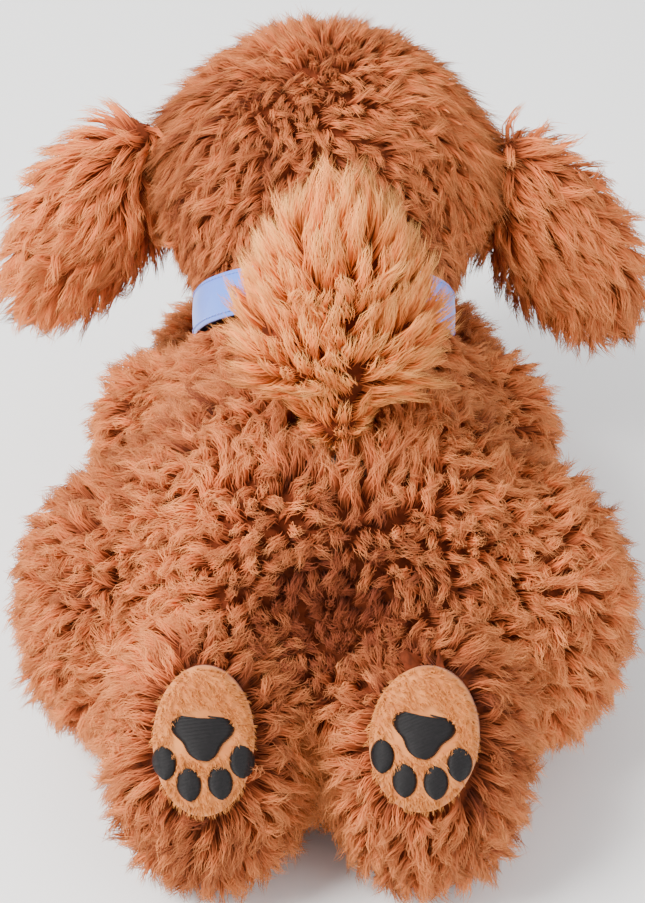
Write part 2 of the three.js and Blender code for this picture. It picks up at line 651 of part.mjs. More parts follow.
for (const [name, side] of Object.entries(SIDES)) {
  add(`eye_${name}`, eye(side), glossBlack());
}

add('nose', geometryOf(ellipsoid(NOSE, 0, HIDDEN)), glossBlack());

// ---------------------------------------------------------------- jaw and its drive
const jawDriveGap = (JAW_TEETH + PINION_TEETH) / 2 * MODULE;
const driveTurn = rad(JAW.drive);
const jawDriveAt = [0, JAW.at[1] + jawDriveGap * Math.cos(driveTurn),
  JAW.at[2] + jawDriveGap * Math.sin(driveTurn)];
const jawFrame = new THREE.Matrix4().makeBasis(
  new THREE.Vector3(0, 1, 0), new THREE.Vector3(0, 0, 1), new THREE.Vector3(1, 0, 0));

function lowerJaw() {
  const [, y, z] = JAW.at;
  const plate = box([-JAW.halfWidth, -146, JAW.chin + GAP], [JAW.halfWidth, y + 2, JAW.chin + 2]);
  const hub = placed(tube(4, 0, -JAW.halfWidth, JAW.halfWidth, 12), alongX(JAW.at));
  const sector = extruded(sectorShape(JAW_TEETH, driveTurn - 2 * Math.PI / JAW_TEETH, 5, 4), -3, 3);
  const place = jawFrame.clone().setPosition(0, y, z);
  const bore = placed(tube(1.9, 0, -30, 30, 10), alongX(JAW.at));
  return geometryOf(cut(join(solid(plate), solid(hub), solid(placed(sector, place))), solid(bore)));
}

// The chin's back face leans forward so that it clears the throat when the mouth opens.
function chinCover() {
  const [, y, z] = JAW.at;
  const lean = rad(22);
  const wedge = new THREE.Shape([
    new THREE.Vector2(-HALF, 60), new THREE.Vector2(y - 1 - (z - 60) * Math.tan(lean), 60),
    new THREE.Vector2(y - 1 - (z - JAW.chin) * Math.tan(lean), JAW.chin),
    new THREE.Vector2(-HALF, JAW.chin)]);
  const room = solid(placed(extruded(wedge, -25.4, 25.4), jawFrame));
  return geometryOf(join(ellipsoid(HEAD), ellipsoid(MUZZLE)).intersect(room));
}

function tongue() {
  const pad = new THREE.Shape();
  pad.absellipse(0, 0, 8, 17, 0, 2 * Math.PI);
  return extruded(pad, JAW.chin + 2.2, JAW.chin + 3.6, 8).translate(0, -124, 0);
}

add('lower_jaw', lowerJaw(), skullLook());
add('chin_cover', chinCover(), furLook());
add('tongue', tongue(), tongueLook());
add('jaw_pin', placed(tube(1.6, 0, -27, 27, 10), alongX(JAW.at)), steelLook());

const jawDrive = new THREE.Group();
jawFrame.clone().setPosition(...jawDriveAt)
  .decompose(jawDrive.position, jawDrive.quaternion, jawDrive.scale);
dog.add(jawDrive);
const jawPinion = addTo(jawDrive, 'jaw_pinion', pinion(6, 1.6, 0), gearLook());
jawPinion.rotation.set(Math.PI, 0, -(driveTurn + Math.PI + Math.PI / PINION_TEETH), 'XYZ');
jawPinion.position.z = 3;
const jawMotor = addTo(jawDrive, 'jaw_motor', gearMotor(), motorLook());
jawMotor.rotation.x = Math.PI;
jawMotor.position.z = 5;

// ---------------------------------------------------------------- ears
// An ear swings out about its root, so it is cut clear of the head all the way through its swing.
function headInSwing(side, rootZ) {
  const swung = EAR.swing.map((angle) => headForm(GAP)
    .translate(-side * EAR.root.x, 0, -rootZ)
    .rotate(0, side * angle, 0)
    .translate(side * EAR.root.x, 0, rootZ));
  return join(...swung);
}

for (const [name, side] of Object.entries(SIDES)) {
  const lean = new THREE.Matrix4().makeRotationY(rad(-side * EAR.lean));
  const place = { at: [side * EAR.x, EAR.y, EAR.z[name]], r: EAR.r };
  const rootZ = EAR.z[name] + EAR.root.rise;
  const ear = cut(ellipsoid(place, 0, PLAIN, lean), headInSwing(side, rootZ));
  add(`ear_${name}`, geometryOf(ear), furLook());
}

export default dog;
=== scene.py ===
import itertools
import json
import math

import bmesh
import bpy
import numpy as np
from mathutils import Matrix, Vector
from mathutils.bvhtree import BVHTree


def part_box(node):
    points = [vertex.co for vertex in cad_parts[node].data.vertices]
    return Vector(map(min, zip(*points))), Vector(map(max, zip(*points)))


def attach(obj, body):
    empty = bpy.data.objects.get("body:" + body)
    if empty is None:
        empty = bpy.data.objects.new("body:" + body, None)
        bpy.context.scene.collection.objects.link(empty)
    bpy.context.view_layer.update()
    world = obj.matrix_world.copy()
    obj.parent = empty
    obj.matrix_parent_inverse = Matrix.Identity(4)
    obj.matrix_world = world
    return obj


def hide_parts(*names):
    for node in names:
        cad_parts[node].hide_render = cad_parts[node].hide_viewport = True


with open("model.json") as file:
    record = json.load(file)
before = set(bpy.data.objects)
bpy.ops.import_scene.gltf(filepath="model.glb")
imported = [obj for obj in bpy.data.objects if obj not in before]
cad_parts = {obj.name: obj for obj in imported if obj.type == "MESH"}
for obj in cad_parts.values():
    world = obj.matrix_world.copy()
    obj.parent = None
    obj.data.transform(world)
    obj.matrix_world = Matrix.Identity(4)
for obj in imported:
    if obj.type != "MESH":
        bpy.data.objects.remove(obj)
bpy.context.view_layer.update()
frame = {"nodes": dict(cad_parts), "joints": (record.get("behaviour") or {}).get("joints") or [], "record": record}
NODES = frame["nodes"]
JOINTS = {j["name"]: j for j in frame["joints"]}
UP = np.array([0.0, 0.0, 1.0])
SIDES = {"left": 1, "right": -1}


# ---- camera, floor and light
CAMERA_AIM = Vector((0.0005, 0.0171, 0.0765))
CAMERA_LIFT = math.radians(37)
CAMERA_DISTANCE = 0.700
CAMERA_LENS = 83.2


def placed(name, data):
    thing = bpy.data.objects.new(name, data)
    bpy.context.scene.collection.objects.link(thing)
    return thing


def make_camera():
    data = bpy.data.cameras.new("camera")
    data.lens = CAMERA_LENS
    data.clip_start = 0.01
    camera = placed("camera", data)
    away = Vector((0, math.cos(CAMERA_LIFT), math.sin(CAMERA_LIFT)))
    camera.location = CAMERA_AIM + away * CAMERA_DISTANCE
    camera.rotation_euler = away.to_track_quat("Z", "Y").to_euler()
    bpy.context.scene.camera = camera


# place, size, power and colour of each soft light
LIGHTS = {
    "key": ((0.9, 0.5, 1.2), 0.7, 52, (1, 0.98, 0.95)),
    "fill": ((-1.1, 0.7, 0.7), 1.2, 13, (0.96, 0.98, 1)),
    "front": ((0.5, -1.2, 0.9), 1.2, 12, (1, 1, 1)),
}
ROOM_LIGHT = 0.85
FLOOR_SIZE = 8
FLOOR_DROP = 0.0004
FLOOR_SHADE = 0.93


def make_studio():
    world = bpy.data.worlds.new("studio")
    world.use_nodes = True
    background = world.node_tree.nodes["Background"]
    background.inputs["Color"].default_value = (1, 1, 1, 1)
    background.inputs["Strength"].default_value = ROOM_LIGHT
    bpy.context.scene.world = world
    for name, (place, size, power, colour) in LIGHTS.items():
        data = bpy.data.lights.new(name, "AREA")
        data.energy = power
        data.size = size
        data.color = colour
        lamp = placed(name, data)
        lamp.location = place
        lamp.rotation_euler = (Vector(place) - CAMERA_AIM).to_track_quat("Z", "Y").to_euler()
    bpy.ops.mesh.primitive_plane_add(size=FLOOR_SIZE, location=(0, 0, -FLOOR_DROP))
    floor = bpy.context.object
    floor.name = "floor"
    shade = new_material("floor_white", (FLOOR_SHADE, FLOOR_SHADE, FLOOR_SHADE), 0.9)
    floor.data.materials.append(shade)


# ---- materials
def shader_of(material):
    return material.node_tree.nodes["Principled BSDF"]


def new_material(name, colour, roughness, metallic=0.0, **sockets):
    material = bpy.data.materials.new(name)
    material.use_nodes = True
    shader = shader_of(material)
    shader.inputs["Base Color"].default_value = (*colour, 1)
    shader.inputs["Roughness"].default_value = roughness
    shader.inputs["Metallic"].default_value = metallic
    for socket, value in sockets.items():
        shader.inputs[socket.replace("_", " ")].default_value = value
    return material


def srgb(*levels):
    shares = np.array(levels) / 255
    return np.where(shares <= 0.04045, shares / 12.92, ((shares + 0.055) / 1.055) ** 2.4).tolist()


def add_node(material, kind, **settings):
    node = material.node_tree.nodes.new(kind)
    for name, value in settings.items():
        setattr(node, name, value)
    return node


def link(material, source, target):
    material.node_tree.links.new(source, target)


def ramp_node(material, stops):
    node = add_node(material, "ShaderNodeValToRGB")
    ramp = node.color_ramp
    while len(ramp.elements) < len(stops):
        ramp.elements.new(0.5)
    for element, (place, colour) in zip(ramp.elements, stops):
        element.position = place
        element.color = (*colour, 1)
    return node


FUR_SHEEN = 0.08
FUR_GLOSS = 0.12


# Fur takes its colour from two numbers on each strand: its own shade, and how far along it is.
def fur_material(name, dark, light):
    material = new_material(name, light[1], 0.7, Sheen_Weight=FUR_SHEEN, Sheen_Roughness=0.5)
    shader = shader_of(material)
    shader.inputs["Sheen Tint"].default_value = (*light[2], 1)
    shader.inputs["Specular IOR Level"].default_value = FUR_GLOSS
    uv = add_node(material, "ShaderNodeUVMap", uv_map="OFBake")
    split = add_node(material, "ShaderNodeSeparateXYZ")
    link(material, uv.outputs["UV"], split.inputs["Vector"])
    places = (0.0, 0.45, 1.0)
    deep = ramp_node(material, list(zip(places, dark)))
    pale = ramp_node(material, list(zip(places, light)))
    mix = add_node(material, "ShaderNodeMix", data_type="RGBA")
    for ramp, socket in ((deep, 6), (pale, 7)):
        link(material, split.outputs["Y"], ramp.inputs["Fac"])
        link(material, ramp.outputs["Color"], mix.inputs[socket])
    link(material, split.outputs["X"], mix.inputs["Factor"])
    link(material, mix.outputs[2], shader.inputs["Base Color"])
    return material


# Each ramp runs from root to tip; the much darker roots are painted shade down in the pile.
FUR_DARK = (srgb(48, 20, 14), srgb(106, 46, 27), srgb(138, 66, 40))
FUR_LIGHT = (srgb(134, 54, 30), srgb(236, 126, 70), srgb(250, 164, 98))
# The tail's ramps are lighter than the body's: painted light on the raised tail.
TAIL_DARK = (srgb(126, 52, 24), srgb(232, 118, 56), srgb(255, 150, 80))
TAIL_LIGHT = (srgb(184, 84, 38), srgb(255, 160, 82), srgb(255, 196, 116))


BUMP_DEPTH = 0.0002


def noise_node(material, scale, detail):
    place = add_node(material, "ShaderNodeTexCoord")
    noise = add_node(material, "ShaderNodeTexNoise")
    noise.inputs["Scale"].default_value = scale
    noise.inputs["Detail"].default_value = detail
    link(material, place.outputs["Object"], noise.inputs["Vector"])
    return noise


def noise_colour(material, low, high, scale):
    noise = noise_node(material, scale, 4)
    ramp = ramp_node(material, [(0.3, low), (0.7, high)])
    shader = shader_of(material)
    link(material, noise.outputs["Fac"], ramp.inputs["Fac"])
    link(material, ramp.outputs["Color"], shader.inputs["Base Color"])


def noise_bump(material, scale, strength):
    noise = noise_node(material, scale, 3)
    bump = add_node(material, "ShaderNodeBump")
    bump.inputs["Strength"].default_value = strength
    bump.inputs["Distance"].default_value = BUMP_DEPTH
    shader = shader_of(material)
    link(material, noise.outputs["Fac"], bump.inputs["Height"])
    link(material, bump.outputs["Normal"], shader.inputs["Normal"])


# ---- mesh helpers
def unit(v):
    return v / np.maximum(np.linalg.norm(v, axis=-1, keepdims=True), 1e-12)


def mesh_arrays(mesh):
    vertices = np.empty(len(mesh.vertices) * 3, np.float32)
    mesh.vertices.foreach_get("co", vertices)
    mesh.calc_loop_triangles()
    triangles = np.empty(len(mesh.loop_triangles) * 3, np.int32)
    mesh.loop_triangles.foreach_get("vertices", triangles)
    return vertices.reshape(-1, 3).astype(float), triangles.reshape(-1, 3)


def mesh_object(name, vertices, faces):
    mesh = bpy.data.meshes.new(name)
    faces = np.asarray(faces, np.int32)
    sides = faces.shape[1]
    mesh.vertices.add(len(vertices))
    move_points(mesh, vertices)
    mesh.loops.add(faces.size)
    mesh.loops.foreach_set("vertex_index", faces.ravel())
    mesh.polygons.add(len(faces))
    mesh.polygons.foreach_set("loop_start", np.arange(0, faces.size, sides, dtype=np.int32))
    mesh.polygons.foreach_set("use_smooth", np.full(len(faces), True))
    mesh.update(calc_edges=True)
    return placed(name, mesh)


def move_points(mesh, points):
    mesh.vertices.foreach_set("co", np.asarray(points, np.float32).ravel())


def apply_modifiers(piece):
    graph = bpy.context.evaluated_depsgraph_get()
    shaped = bpy.data.meshes.new_from_object(piece.evaluated_get(graph))
    piece.modifiers.clear()
    piece.data = shaped


def corners_of(vertices, triangles):
    return [vertices[triangles[:, i]] for i in range(3)]


def vertex_normals(vertices, triangles):
    a, b, c = corners_of(vertices, triangles)
    face = np.cross(b - a, c - a)
    total = np.zeros_like(vertices)
    for i in range(3):
        np.add.at(total, triangles[:, i], face)
    return unit(total)


def smoothed(vertices, triangles, rounds):
    """Moves every point half way to the middle of its neighbours, some times over."""
    edges = np.concatenate([triangles[:, [0, 1]], triangles[:, [1, 2]], triangles[:, [2, 0]]])
    edges = np.unique(np.sort(edges, axis=1), axis=0)
    count = np.bincount(edges.ravel(), minlength=len(vertices))[:, None]
    for _ in range(rounds):
        total = np.zeros_like(vertices)
        np.add.at(total, edges[:, 0], vertices[edges[:, 1]])
        np.add.at(total, edges[:, 1], vertices[edges[:, 0]])
        vertices = (vertices + total / count) / 2
    return vertices


def fade(away, reach):
    """1 where a distance is nothing, fading out over about the reach."""
    return np.exp(-(np.linalg.norm(away, axis=1) / reach) ** 2)


def middle_of(node):
    return np.array(sum(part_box(node), Vector())) / 2


def joined(forms):
    vertices, triangles, start = [], [], 0
    for points, faces in forms:
        vertices.append(points)
        triangles.append(faces + start)
        start += len(points)
    return np.concatenate(vertices), np.concatenate(triangles)


def tree_of(form):
    return BVHTree.FromPolygons(form[0].tolist(), form[1].tolist())


def node_form(*names):
    return joined([mesh_arrays(NODES[name].data) for name in names])


def remeshed(form, size, rounds):
    """One even skin of triangles round a form, with every gap under the voxel size closed."""
    piece = mesh_object("form", *form)
    remesh = piece.modifiers.new("remesh", "REMESH")
    remesh.mode = "VOXEL"
    remesh.voxel_size = size
    apply_modifiers(piece)
    vertices, triangles = mesh_arrays(piece.data)
    bpy.data.objects.remove(piece)
    return smoothed(vertices, triangles, rounds), triangles


def patchy(points, scale, seed):
    """A smooth random number from about -1 to 1 that changes over a length of scale."""
    rng = np.random.default_rng(seed)
    total = np.zeros(len(points))
    for _ in range(6):
        wave = rng.normal(size=3) / scale
        total += np.sin(points @ wave + rng.random() * 2 * math.pi)
    return total / 3


# ---- skins: the fabric under the pile
def unit_ball():
    """Evenly spread directions and the triangles of the ball they make."""
    ball = bmesh.new()
    bmesh.ops.create_icosphere(ball, subdivisions=5, radius=1)
    directions = np.array([v.co for v in ball.verts])
    triangles = np.array([[v.index for v in f.verts] for f in ball.faces])
    ball.free()
    return directions, triangles


def star_form(centre, *names):
    """The outside of some nodes as seen from one inner point, with every hole closed."""
    directions, triangles = unit_ball()
    tree = tree_of(node_form(*names))
    reach = 0.3
    places = []
    for ray in directions:
        hit = tree.ray_cast(centre + Vector(ray) * reach, -Vector(ray), reach)[0]
        places.append(hit if hit is not None else centre)
    return np.array(places), triangles


def inset(form, depth, underside_depth):
    """Moves a surface in along its normals, by a depth of its own where it faces the floor."""
    vertices, triangles = form
    normals = vertex_normals(vertices, triangles)
    down = np.clip(-normals[:, 2:3] * 1.6, 0, 1)
    return vertices - normals * (depth + (underside_depth - depth) * down), triangles


def held_inside(form, limit):
    """Pulls every point of a form that lies outside a limiting surface back onto it."""
    tree = tree_of(limit)
    vertices = form[0].copy()
    for index, point in enumerate(vertices):
        place, normal, _, _ = tree.find_nearest(Vector(point))
        if (Vector(point) - place).dot(normal) > 0:
            vertices[index] = place
    return vertices, form[1]


def dressed(piece, look, body, slot, *nodes):
    """Gives a piece its look and the body it rides, and hides the nodes it stands for; slot is not used."""
    piece.data.materials.append(look)
    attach(piece, body)
    if nodes:
        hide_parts(*nodes)


CLOTH_PRESSURE = 4
CLOTH_STEPS = 20
CLOTH_SWELL = 0.0015
CLOTH_THICKNESS = 0.0012


def inflate(piece, most):
    """Swells a closed cover as its filling does; no point moves further than most."""
    before, _ = mesh_arrays(piece.data)
    cloth = piece.modifiers.new("cloth", "CLOTH")
    cloth.settings.use_pressure = True
    cloth.settings.uniform_pressure_force = CLOTH_PRESSURE
    cloth.settings.quality = 4
    cloth.settings.effector_weights.gravity = 0
    scene = bpy.context.scene
    for step in range(1, CLOTH_STEPS + 1):
        scene.frame_set(step)
    apply_modifiers(piece)
    scene.frame_set(1)
    move = mesh_arrays(piece.data)[0] - before
    length = np.linalg.norm(move, axis=1, keepdims=True)
    move *= np.minimum(1, most / np.maximum(length, 1e-9))
    move_points(piece.data, before + move)
    piece.data.update()


def skin_piece(name, form, body, node, slot="fur", opening=None):
    """A closed, slightly swollen cover; one with an opening becomes cloth of its own thickness."""
    piece = mesh_object(name, *form)
    inflate(piece, CLOTH_SWELL)
    if opening is not None:
        vertices, triangles = mesh_arrays(piece.data)
        kept = triangles[~opening(vertices[triangles].mean(axis=1))]
        used = np.unique(kept)
        number = np.zeros(len(vertices), int)
        number[used] = np.arange(len(used))
        bpy.data.objects.remove(piece)
        piece = mesh_object(name, vertices[used], number[kept])
        thick = piece.modifiers.new("cloth thickness", "SOLIDIFY")
        thick.thickness = CLOTH_THICKNESS
        thick.offset = -1
        apply_modifiers(piece)
    dressed(piece, backing, body, slot, node)
    return piece


# ---- fur
TRIES = 5
CLOSEST = 0.8


# A lock is a bunch of strands that start apart, lean over and draw together towards the tip.
def sample_surface(form, spacing, rng):
    """Points spread over a surface about spacing apart, each with its normal."""
    vertices, triangles = form
    a, b, c = corners_of(vertices, triangles)
    area = np.linalg.norm(np.cross(b - a, c - a), axis=1) / 2
    count = int(area.sum() / (spacing * spacing) * TRIES)
    pick = rng.choice(len(triangles), count, p=area / area.sum())
    r1, r2 = np.sqrt(rng.random(count)), rng.random(count)
    weights = np.stack([1 - r1, r1 * (1 - r2), r1 * r2], axis=1)[:, :, None]
    points = (weights * vertices[triangles[pick]]).sum(axis=1)
    normals = unit((weights * vertex_normals(vertices, triangles)[triangles[pick]]).sum(axis=1))
    keep = thinned(points, spacing * CLOSEST)
    return points[keep], normals[keep]


def thinned(points, gap):
    """The points, in turn, that keep their distance from those already kept."""
    near_cells = list(itertools.product((-1, 0, 1), repeat=3))
    cells, kept = {}, []
    keys = np.floor(points / gap).astype(int).tolist()
    for index, (point, (kx, ky, kz)) in enumerate(zip(points.tolist(), keys)):
        neighbours = [other for i, j, k in near_cells
                      for other in cells.get((kx + i, ky + j, kz + k), ())]
        if all(math.dist(point, other) > gap for other in neighbours):
            cells.setdefault((kx, ky, kz), []).append(point)
            kept.append(index)
    return np.array(kept, int)


GRID = 12
LEAN_JITTER = 8


def lock_spines(roots, normals, comb, length, lean_share, style, rng):
    """The middle line of each lock from root to tip, in GRID steps, and the way it runs."""
    count = len(roots)
    side = np.cross(normals, comb)
    fine = np.linspace(0, 1, GRID + 1)
    lean_root = np.radians(style["lean"][0] + rng.normal(0, LEAN_JITTER, count))[:, None]
    lean_tip = np.radians(style["lean"][1] + rng.normal(0, style["unruly"], count))[:, None]
    lean = (lean_root + (lean_tip - lean_root) * fine) * lean_share[:, None]
    turn = np.radians(rng.normal(0, style["curl"], count))[:, None] * fine
    heading = comb[:, None] * np.cos(turn)[..., None] + side[:, None] * np.sin(turn)[..., None]
    along = normals[:, None] * np.cos(lean)[..., None] + heading * np.sin(lean)[..., None]
    run = np.cumsum((along[:, 1:] + along[:, :-1]) / 2, axis=1) / GRID
    run = np.concatenate([np.zeros((count, 1, 3)), run], axis=1) * length[:, None, None]
    return run, along


def at_steps(values, steps):
    return values[:, np.round(np.asarray(steps) * GRID).astype(int)]


def ring_faces(rings, sides):
    """The triangles between rings of points that follow one another."""
    faces = []
    for ring in range(rings - 1):
        low, high = sides * ring, sides * (ring + 1)
        for i in range(sides):
            j = (i + 1) % sides
            faces += [(low + i, low + j, high + j), (low + i, high + j, high + i)]
    return faces


def prisms(centres, along, girth, sides, twist, rng):
    """Closed tapered prisms along some centre lines, whose last centre is the tip."""
    total, levels = len(centres), centres.shape[1] - 1
    across = unit(np.cross(along, rng.normal(size=(total, 1, 3))))
    other = np.cross(along, across)
    corner = np.arange(sides) * 2 * math.pi / sides + twist * np.arange(levels)[:, None]
    out = (across[:, :levels, None] * np.cos(corner)[..., None]
           + other[:, :levels, None] * np.sin(corner)[..., None])
    ring = centres[:, :levels, None] + out * girth[..., None]
    points = np.concatenate([ring.reshape(total, levels * sides, 3), centres[:, -1:]], axis=1)
    faces = [(0, j + 1, j) for j in range(1, sides - 1)] + ring_faces(levels, sides)
    last = sides * (levels - 1)
    faces += [(last + i, last + (i + 1) % sides, sides * levels) for i in range(sides)]
    return points, out, np.array(faces)


CORE_STEPS = (0.0, 0.33, 0.67, 1.0)
CORE_GIRTH = (1.0, 1.0, 0.7)
CORE_SIDES = 5
CORE_REACH = 0.72
# The cores' tone is lowered by this much: painted shade deep in each lock.
CORE_PAINTED_SHADE = -0.12
CORE_FACES = CORE_SIDES * 2 * len(CORE_GIRTH) - 2
PIECE_FACES = 180000
FLOOR_GAP = 0.0004


def core_parts(roots, normals, run, along, shade, style, rng):
    """The short filler in the middle of each lock, toned darker than its strands: painted shade deep in the lock.
    """
    centres = roots[:, None] + at_steps(run, CORE_STEPS) * CORE_REACH
    centres[:, 0] -= normals * style["sunk"]
    ridges = rng.uniform(0.72, 1.2, (len(roots), 1, CORE_SIDES))
    girth = style["core"] * rng.uniform(0.75, 1.2, (len(roots), 1, 1))
    girth = girth * np.array(CORE_GIRTH)[None, :, None] * ridges
    points, out, faces = prisms(centres, at_steps(along, CORE_STEPS), girth, CORE_SIDES, 0.12, rng)
    soft = np.concatenate([out.reshape(len(roots), -1, 3), at_steps(along, (1.0,))], axis=1)
    # Each side of a core takes the painted shade plus a random streak of its own.
    painted_shade_and_streaks = CORE_PAINTED_SHADE + rng.normal(0, 0.06, ridges[:, 0].shape)
    levels = len(CORE_STEPS) - 1
    tone = np.concatenate([np.tile(shade[:, None] + painted_shade_and_streaks, (1, levels)), shade[:, None]], axis=1)
    height = np.append(np.repeat(CORE_STEPS[:-1], CORE_SIDES), 1.0) * CORE_REACH
    return points, soft, faces, tone, height


def strand_parts(roots, normals, comb, length, run, along, shade, style, rng):
    """The loose fibres of each lock: they start apart and draw in round its middle."""
    lock = np.repeat(np.arange(len(roots)), style["strands"])
    steps = np.append(style["rings"], 1.0)
    side = np.cross(normals, comb)[lock]
    comb = comb[lock]
    total = len(lock)
    share = np.sqrt(rng.random(total))
    angle = rng.random(total) * 2 * math.pi
    offset = style["spread"] * (comb * (share * np.cos(angle))[:, None]
                                + side * (share * np.sin(angle))[:, None])
    draw_in = 1 - style["gather"] * np.sin(steps * math.pi * 0.62)
    size = rng.uniform(0.85, 1.1, total) * (1.06 - 0.28 * share ** 2)
    cycle = 2 * math.pi * style["waves"] * steps + rng.random((total, 1)) * 2 * math.pi
    wave = style["wave"] * steps * length[lock][:, None]
    centres = (roots[lock][:, None] + offset[:, None] * draw_in[None, :, None]
               + at_steps(run, steps)[lock] * size[:, None, None]
               + comb[:, None] * (wave * np.cos(cycle))[..., None]
               + side[:, None] * (wave * np.sin(cycle))[..., None])
    centres[:, 0] -= normals[lock] * style["sunk"]
    floor = FLOOR_GAP + 0.0001 + 0.0006 * rng.random((total, 1))
    centres[..., 2] = np.maximum(centres[..., 2], floor)
    thick = style["thickness"] * rng.uniform(0.75, 1.25, (total, 1, 1))
    girth = thick * (1 - 0.55 * np.asarray(style["rings"]) ** 2)[None, :, None]
    points, out, faces = prisms(centres, at_steps(along, steps)[lock], girth, 3, 0, rng)
    around = unit(normals[lock] + 0.9 * offset / style["spread"])
    soft = unit(0.35 * out + 0.8 * around[:, None, None]).reshape(total, -1, 3)
    soft = np.concatenate([soft, around[:, None]], axis=1)
    tone = np.repeat((shade[lock] + rng.normal(0, 0.08, total))[:, None], soft.shape[1], axis=1)
    return points, soft, faces, tone, np.append(np.repeat(style["rings"], 3), 1.0)


def merged(parts):
    """Several sets of alike small solids as one list of points, normals, triangles and corner UVs."""
    points, normals, faces, corners, start = [], [], [], [], 0
    for places, soft, triangles, tone, height in parts:
        total, size = places.shape[:2]
        starts = start + np.arange(total) * size
        points.append(places.reshape(-1, 3))
        normals.append(soft.reshape(-1, 3))
        faces.append((triangles[None] + starts[:, None, None]).reshape(-1, 3))
        uv = np.empty((total,) + triangles.shape + (2,), np.float32)
        uv[..., 0] = np.clip(tone, 0.02, 0.98)[:, triangles]
        uv[..., 1] = height[triangles] * 0.97 + 0.01
        corners.append(uv.reshape(-1, 2))
        start += total * size
    return [np.concatenate(values) for values in (points, normals, faces, corners)]


def grow(name, locks, style, body, node, slot, look, seed):
    """Makes the locks of one region, in pieces of a handy size."""
    rng = np.random.default_rng(seed)
    order = np.argsort(locks["roots"][:, 1], kind="stable")
    lock_faces = style["strands"] * (6 * len(style["rings"]) - 2) + CORE_FACES
    pieces = max(1, math.ceil(len(order) * lock_faces / PIECE_FACES))
    for number, part in enumerate(np.array_split(order, pieces)):
        roots, normals, comb, length, lean_share, shade = (locks[key][part] for key in LOCK_KEYS)
        run, along = lock_spines(roots, normals, comb, length, lean_share, style, rng)
        parts = [strand_parts(roots, normals, comb, length, run, along, shade, style, rng)]
        if style["core"] > 0:
            parts.append(core_parts(roots, normals, run, along, shade, style, rng))
        points, soft, triangles, corners = merged(parts)
        points[:, 2] = np.maximum(points[:, 2], FLOOR_GAP)
        piece = mesh_object(f"{name}_{number + 1}", points, triangles)
        piece.data.normals_split_custom_set_from_vertices(soft.tolist())
        layer = piece.data.uv_layers.new(name="OFBake")
        layer.uv.foreach_set("vector", corners.ravel())
        dressed(piece, look, body, slot, node)


WANDER_PATCH = 0.011
SHADE_SPREAD = 0.15
SHADE_SWING = 0.17
SHADE_PATCH = 0.020
LOCK_KEYS = ("roots", "normals", "comb", "length", "lean_share", "shade")


def laid(direction, normals, wander, roots, seed):
    """The lay of each lock: a direction over the surface, turned by about wander degrees."""
    rng = np.random.default_rng(seed)
    flat = unit(direction - normals * (direction * normals).sum(axis=1, keepdims=True))
    angle = np.radians(wander * (rng.normal(0, 0.6, len(roots)) + patchy(roots, WANDER_PATCH, seed)))
    side = np.cross(normals, flat)
    return flat * np.cos(angle)[:, None] + side * np.sin(angle)[:, None]


# ---- the dog's covers
NECK_AT = np.array(JOINTS["head_turn"]["pos_m"])
NECK_AXIS = np.array(JOINTS["head_turn"]["axis"])
COLLAR_CLEAR = 0.010
COLLAR_REACH = 0.052
NECK_RADIUS = 0.0435
NECK_HOLE = 0.0385
BODY_HOLE_DEPTH = 0.05
HEAD_HOLE_DEPTH = 0.03
BACK_HEIGHT = 0.09
CASE_RIM = 0.012
# how far round each place the pile is changed
HOLLOW_REACH = 0.020
SLOT_REACH = 0.019
SOLE_REACH = 0.034
TAIL_REACH = 0.022
BACK_REACH = 0.062
EAR_REACH = 0.028
EAR_TUFT_REACH = 0.024
CROWN_REACH = 0.024
TAIL_AT = np.array(JOINTS["tail_wag"]["pos_m"])
TAIL_SLOT = np.array([0.012, 0.008])
TAIL_SLEEVE_RADII = np.array([0.011, 0.010, 0.016])
TAIL_SLEEVE_RISE = 0.019
TAIL_FOOT = 0.020
FACE = ("eye_left", "eye_right", "nose")
LEGS = ("hind_leg_left", "hind_leg_right", "front_leg_left", "front_leg_right")


def up_neck(points):
    """How far along the neck's axis the points lie from the collar's middle."""
    return (points - NECK_AT) @ NECK_AXIS


def off_neck(points):
    """How far the points lie from the neck's axis."""
    return np.linalg.norm(np.cross(points - NECK_AT, NECK_AXIS), axis=1)


def inside_box(points, node, grow):
    """Whether the points lie in a node's box, grown by one margin or by one for each axis."""
    low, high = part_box(node)
    margin = np.array(grow)
    return np.all((points > np.array(low) - margin) & (points < np.array(high) + margin), axis=1)


def off_tail(points):
    """How far the points lie from the tail's slot, counted in slot sizes."""
    away = np.abs(points - TAIL_AT)[:, :2]
    return (away / TAIL_SLOT).max(axis=1)


def body_opening(points):
    """The skin is open under the battery case, round the tail's lever and at the neck."""
    belly = inside_box(points, "case_lower", 0.004) & (points[:, 2] < CASE_RIM)
    slot = (off_tail(points) < 1) & (points[:, 2] > BACK_HEIGHT)
    neck = (up_neck(points) > -BODY_HOLE_DEPTH) & (off_neck(points) < NECK_HOLE)
    return belly | slot | neck


def by_collar(points):
    """1 on the neck that the collar goes round, fading out away from it."""
    out = np.clip(off_neck(points) - NECK_RADIUS, 0, None) / 0.004
    along = up_neck(points) / 0.02
    return np.exp(-out ** 2 - along ** 4)[:, None]


def head_opening(points):
    return (up_neck(points) < HEAD_HOLE_DEPTH) & (off_neck(points) < NECK_HOLE)


def flat_frame(name):
    """A flat oval piece: the centre of its outer face, its normal, toe and side directions, and size."""
    vertices, triangles = node_form(name)
    a, b, c = corners_of(vertices, triangles)
    cross = np.cross(b - a, c - a)
    outer = unit(cross) @ unit(np.array([0, 1.0, 0.9])) > 0.9
    weight = np.linalg.norm(cross[outer], axis=1, keepdims=True)
    centre = ((a + b + c)[outer] / 3 * weight).sum(axis=0) / weight.sum()
    normal = unit(cross[outer].sum(axis=0))
    toe = unit(normal * normal[2] - UP)
    side = np.cross(normal, toe)
    rim = vertices[np.unique(triangles[outer])] - centre
    return centre, normal, toe, side, np.abs(rim @ side).max(), np.abs(rim @ toe).max()


SOLES = {side: flat_frame(f"hind_sole_{side}") for side in SIDES}


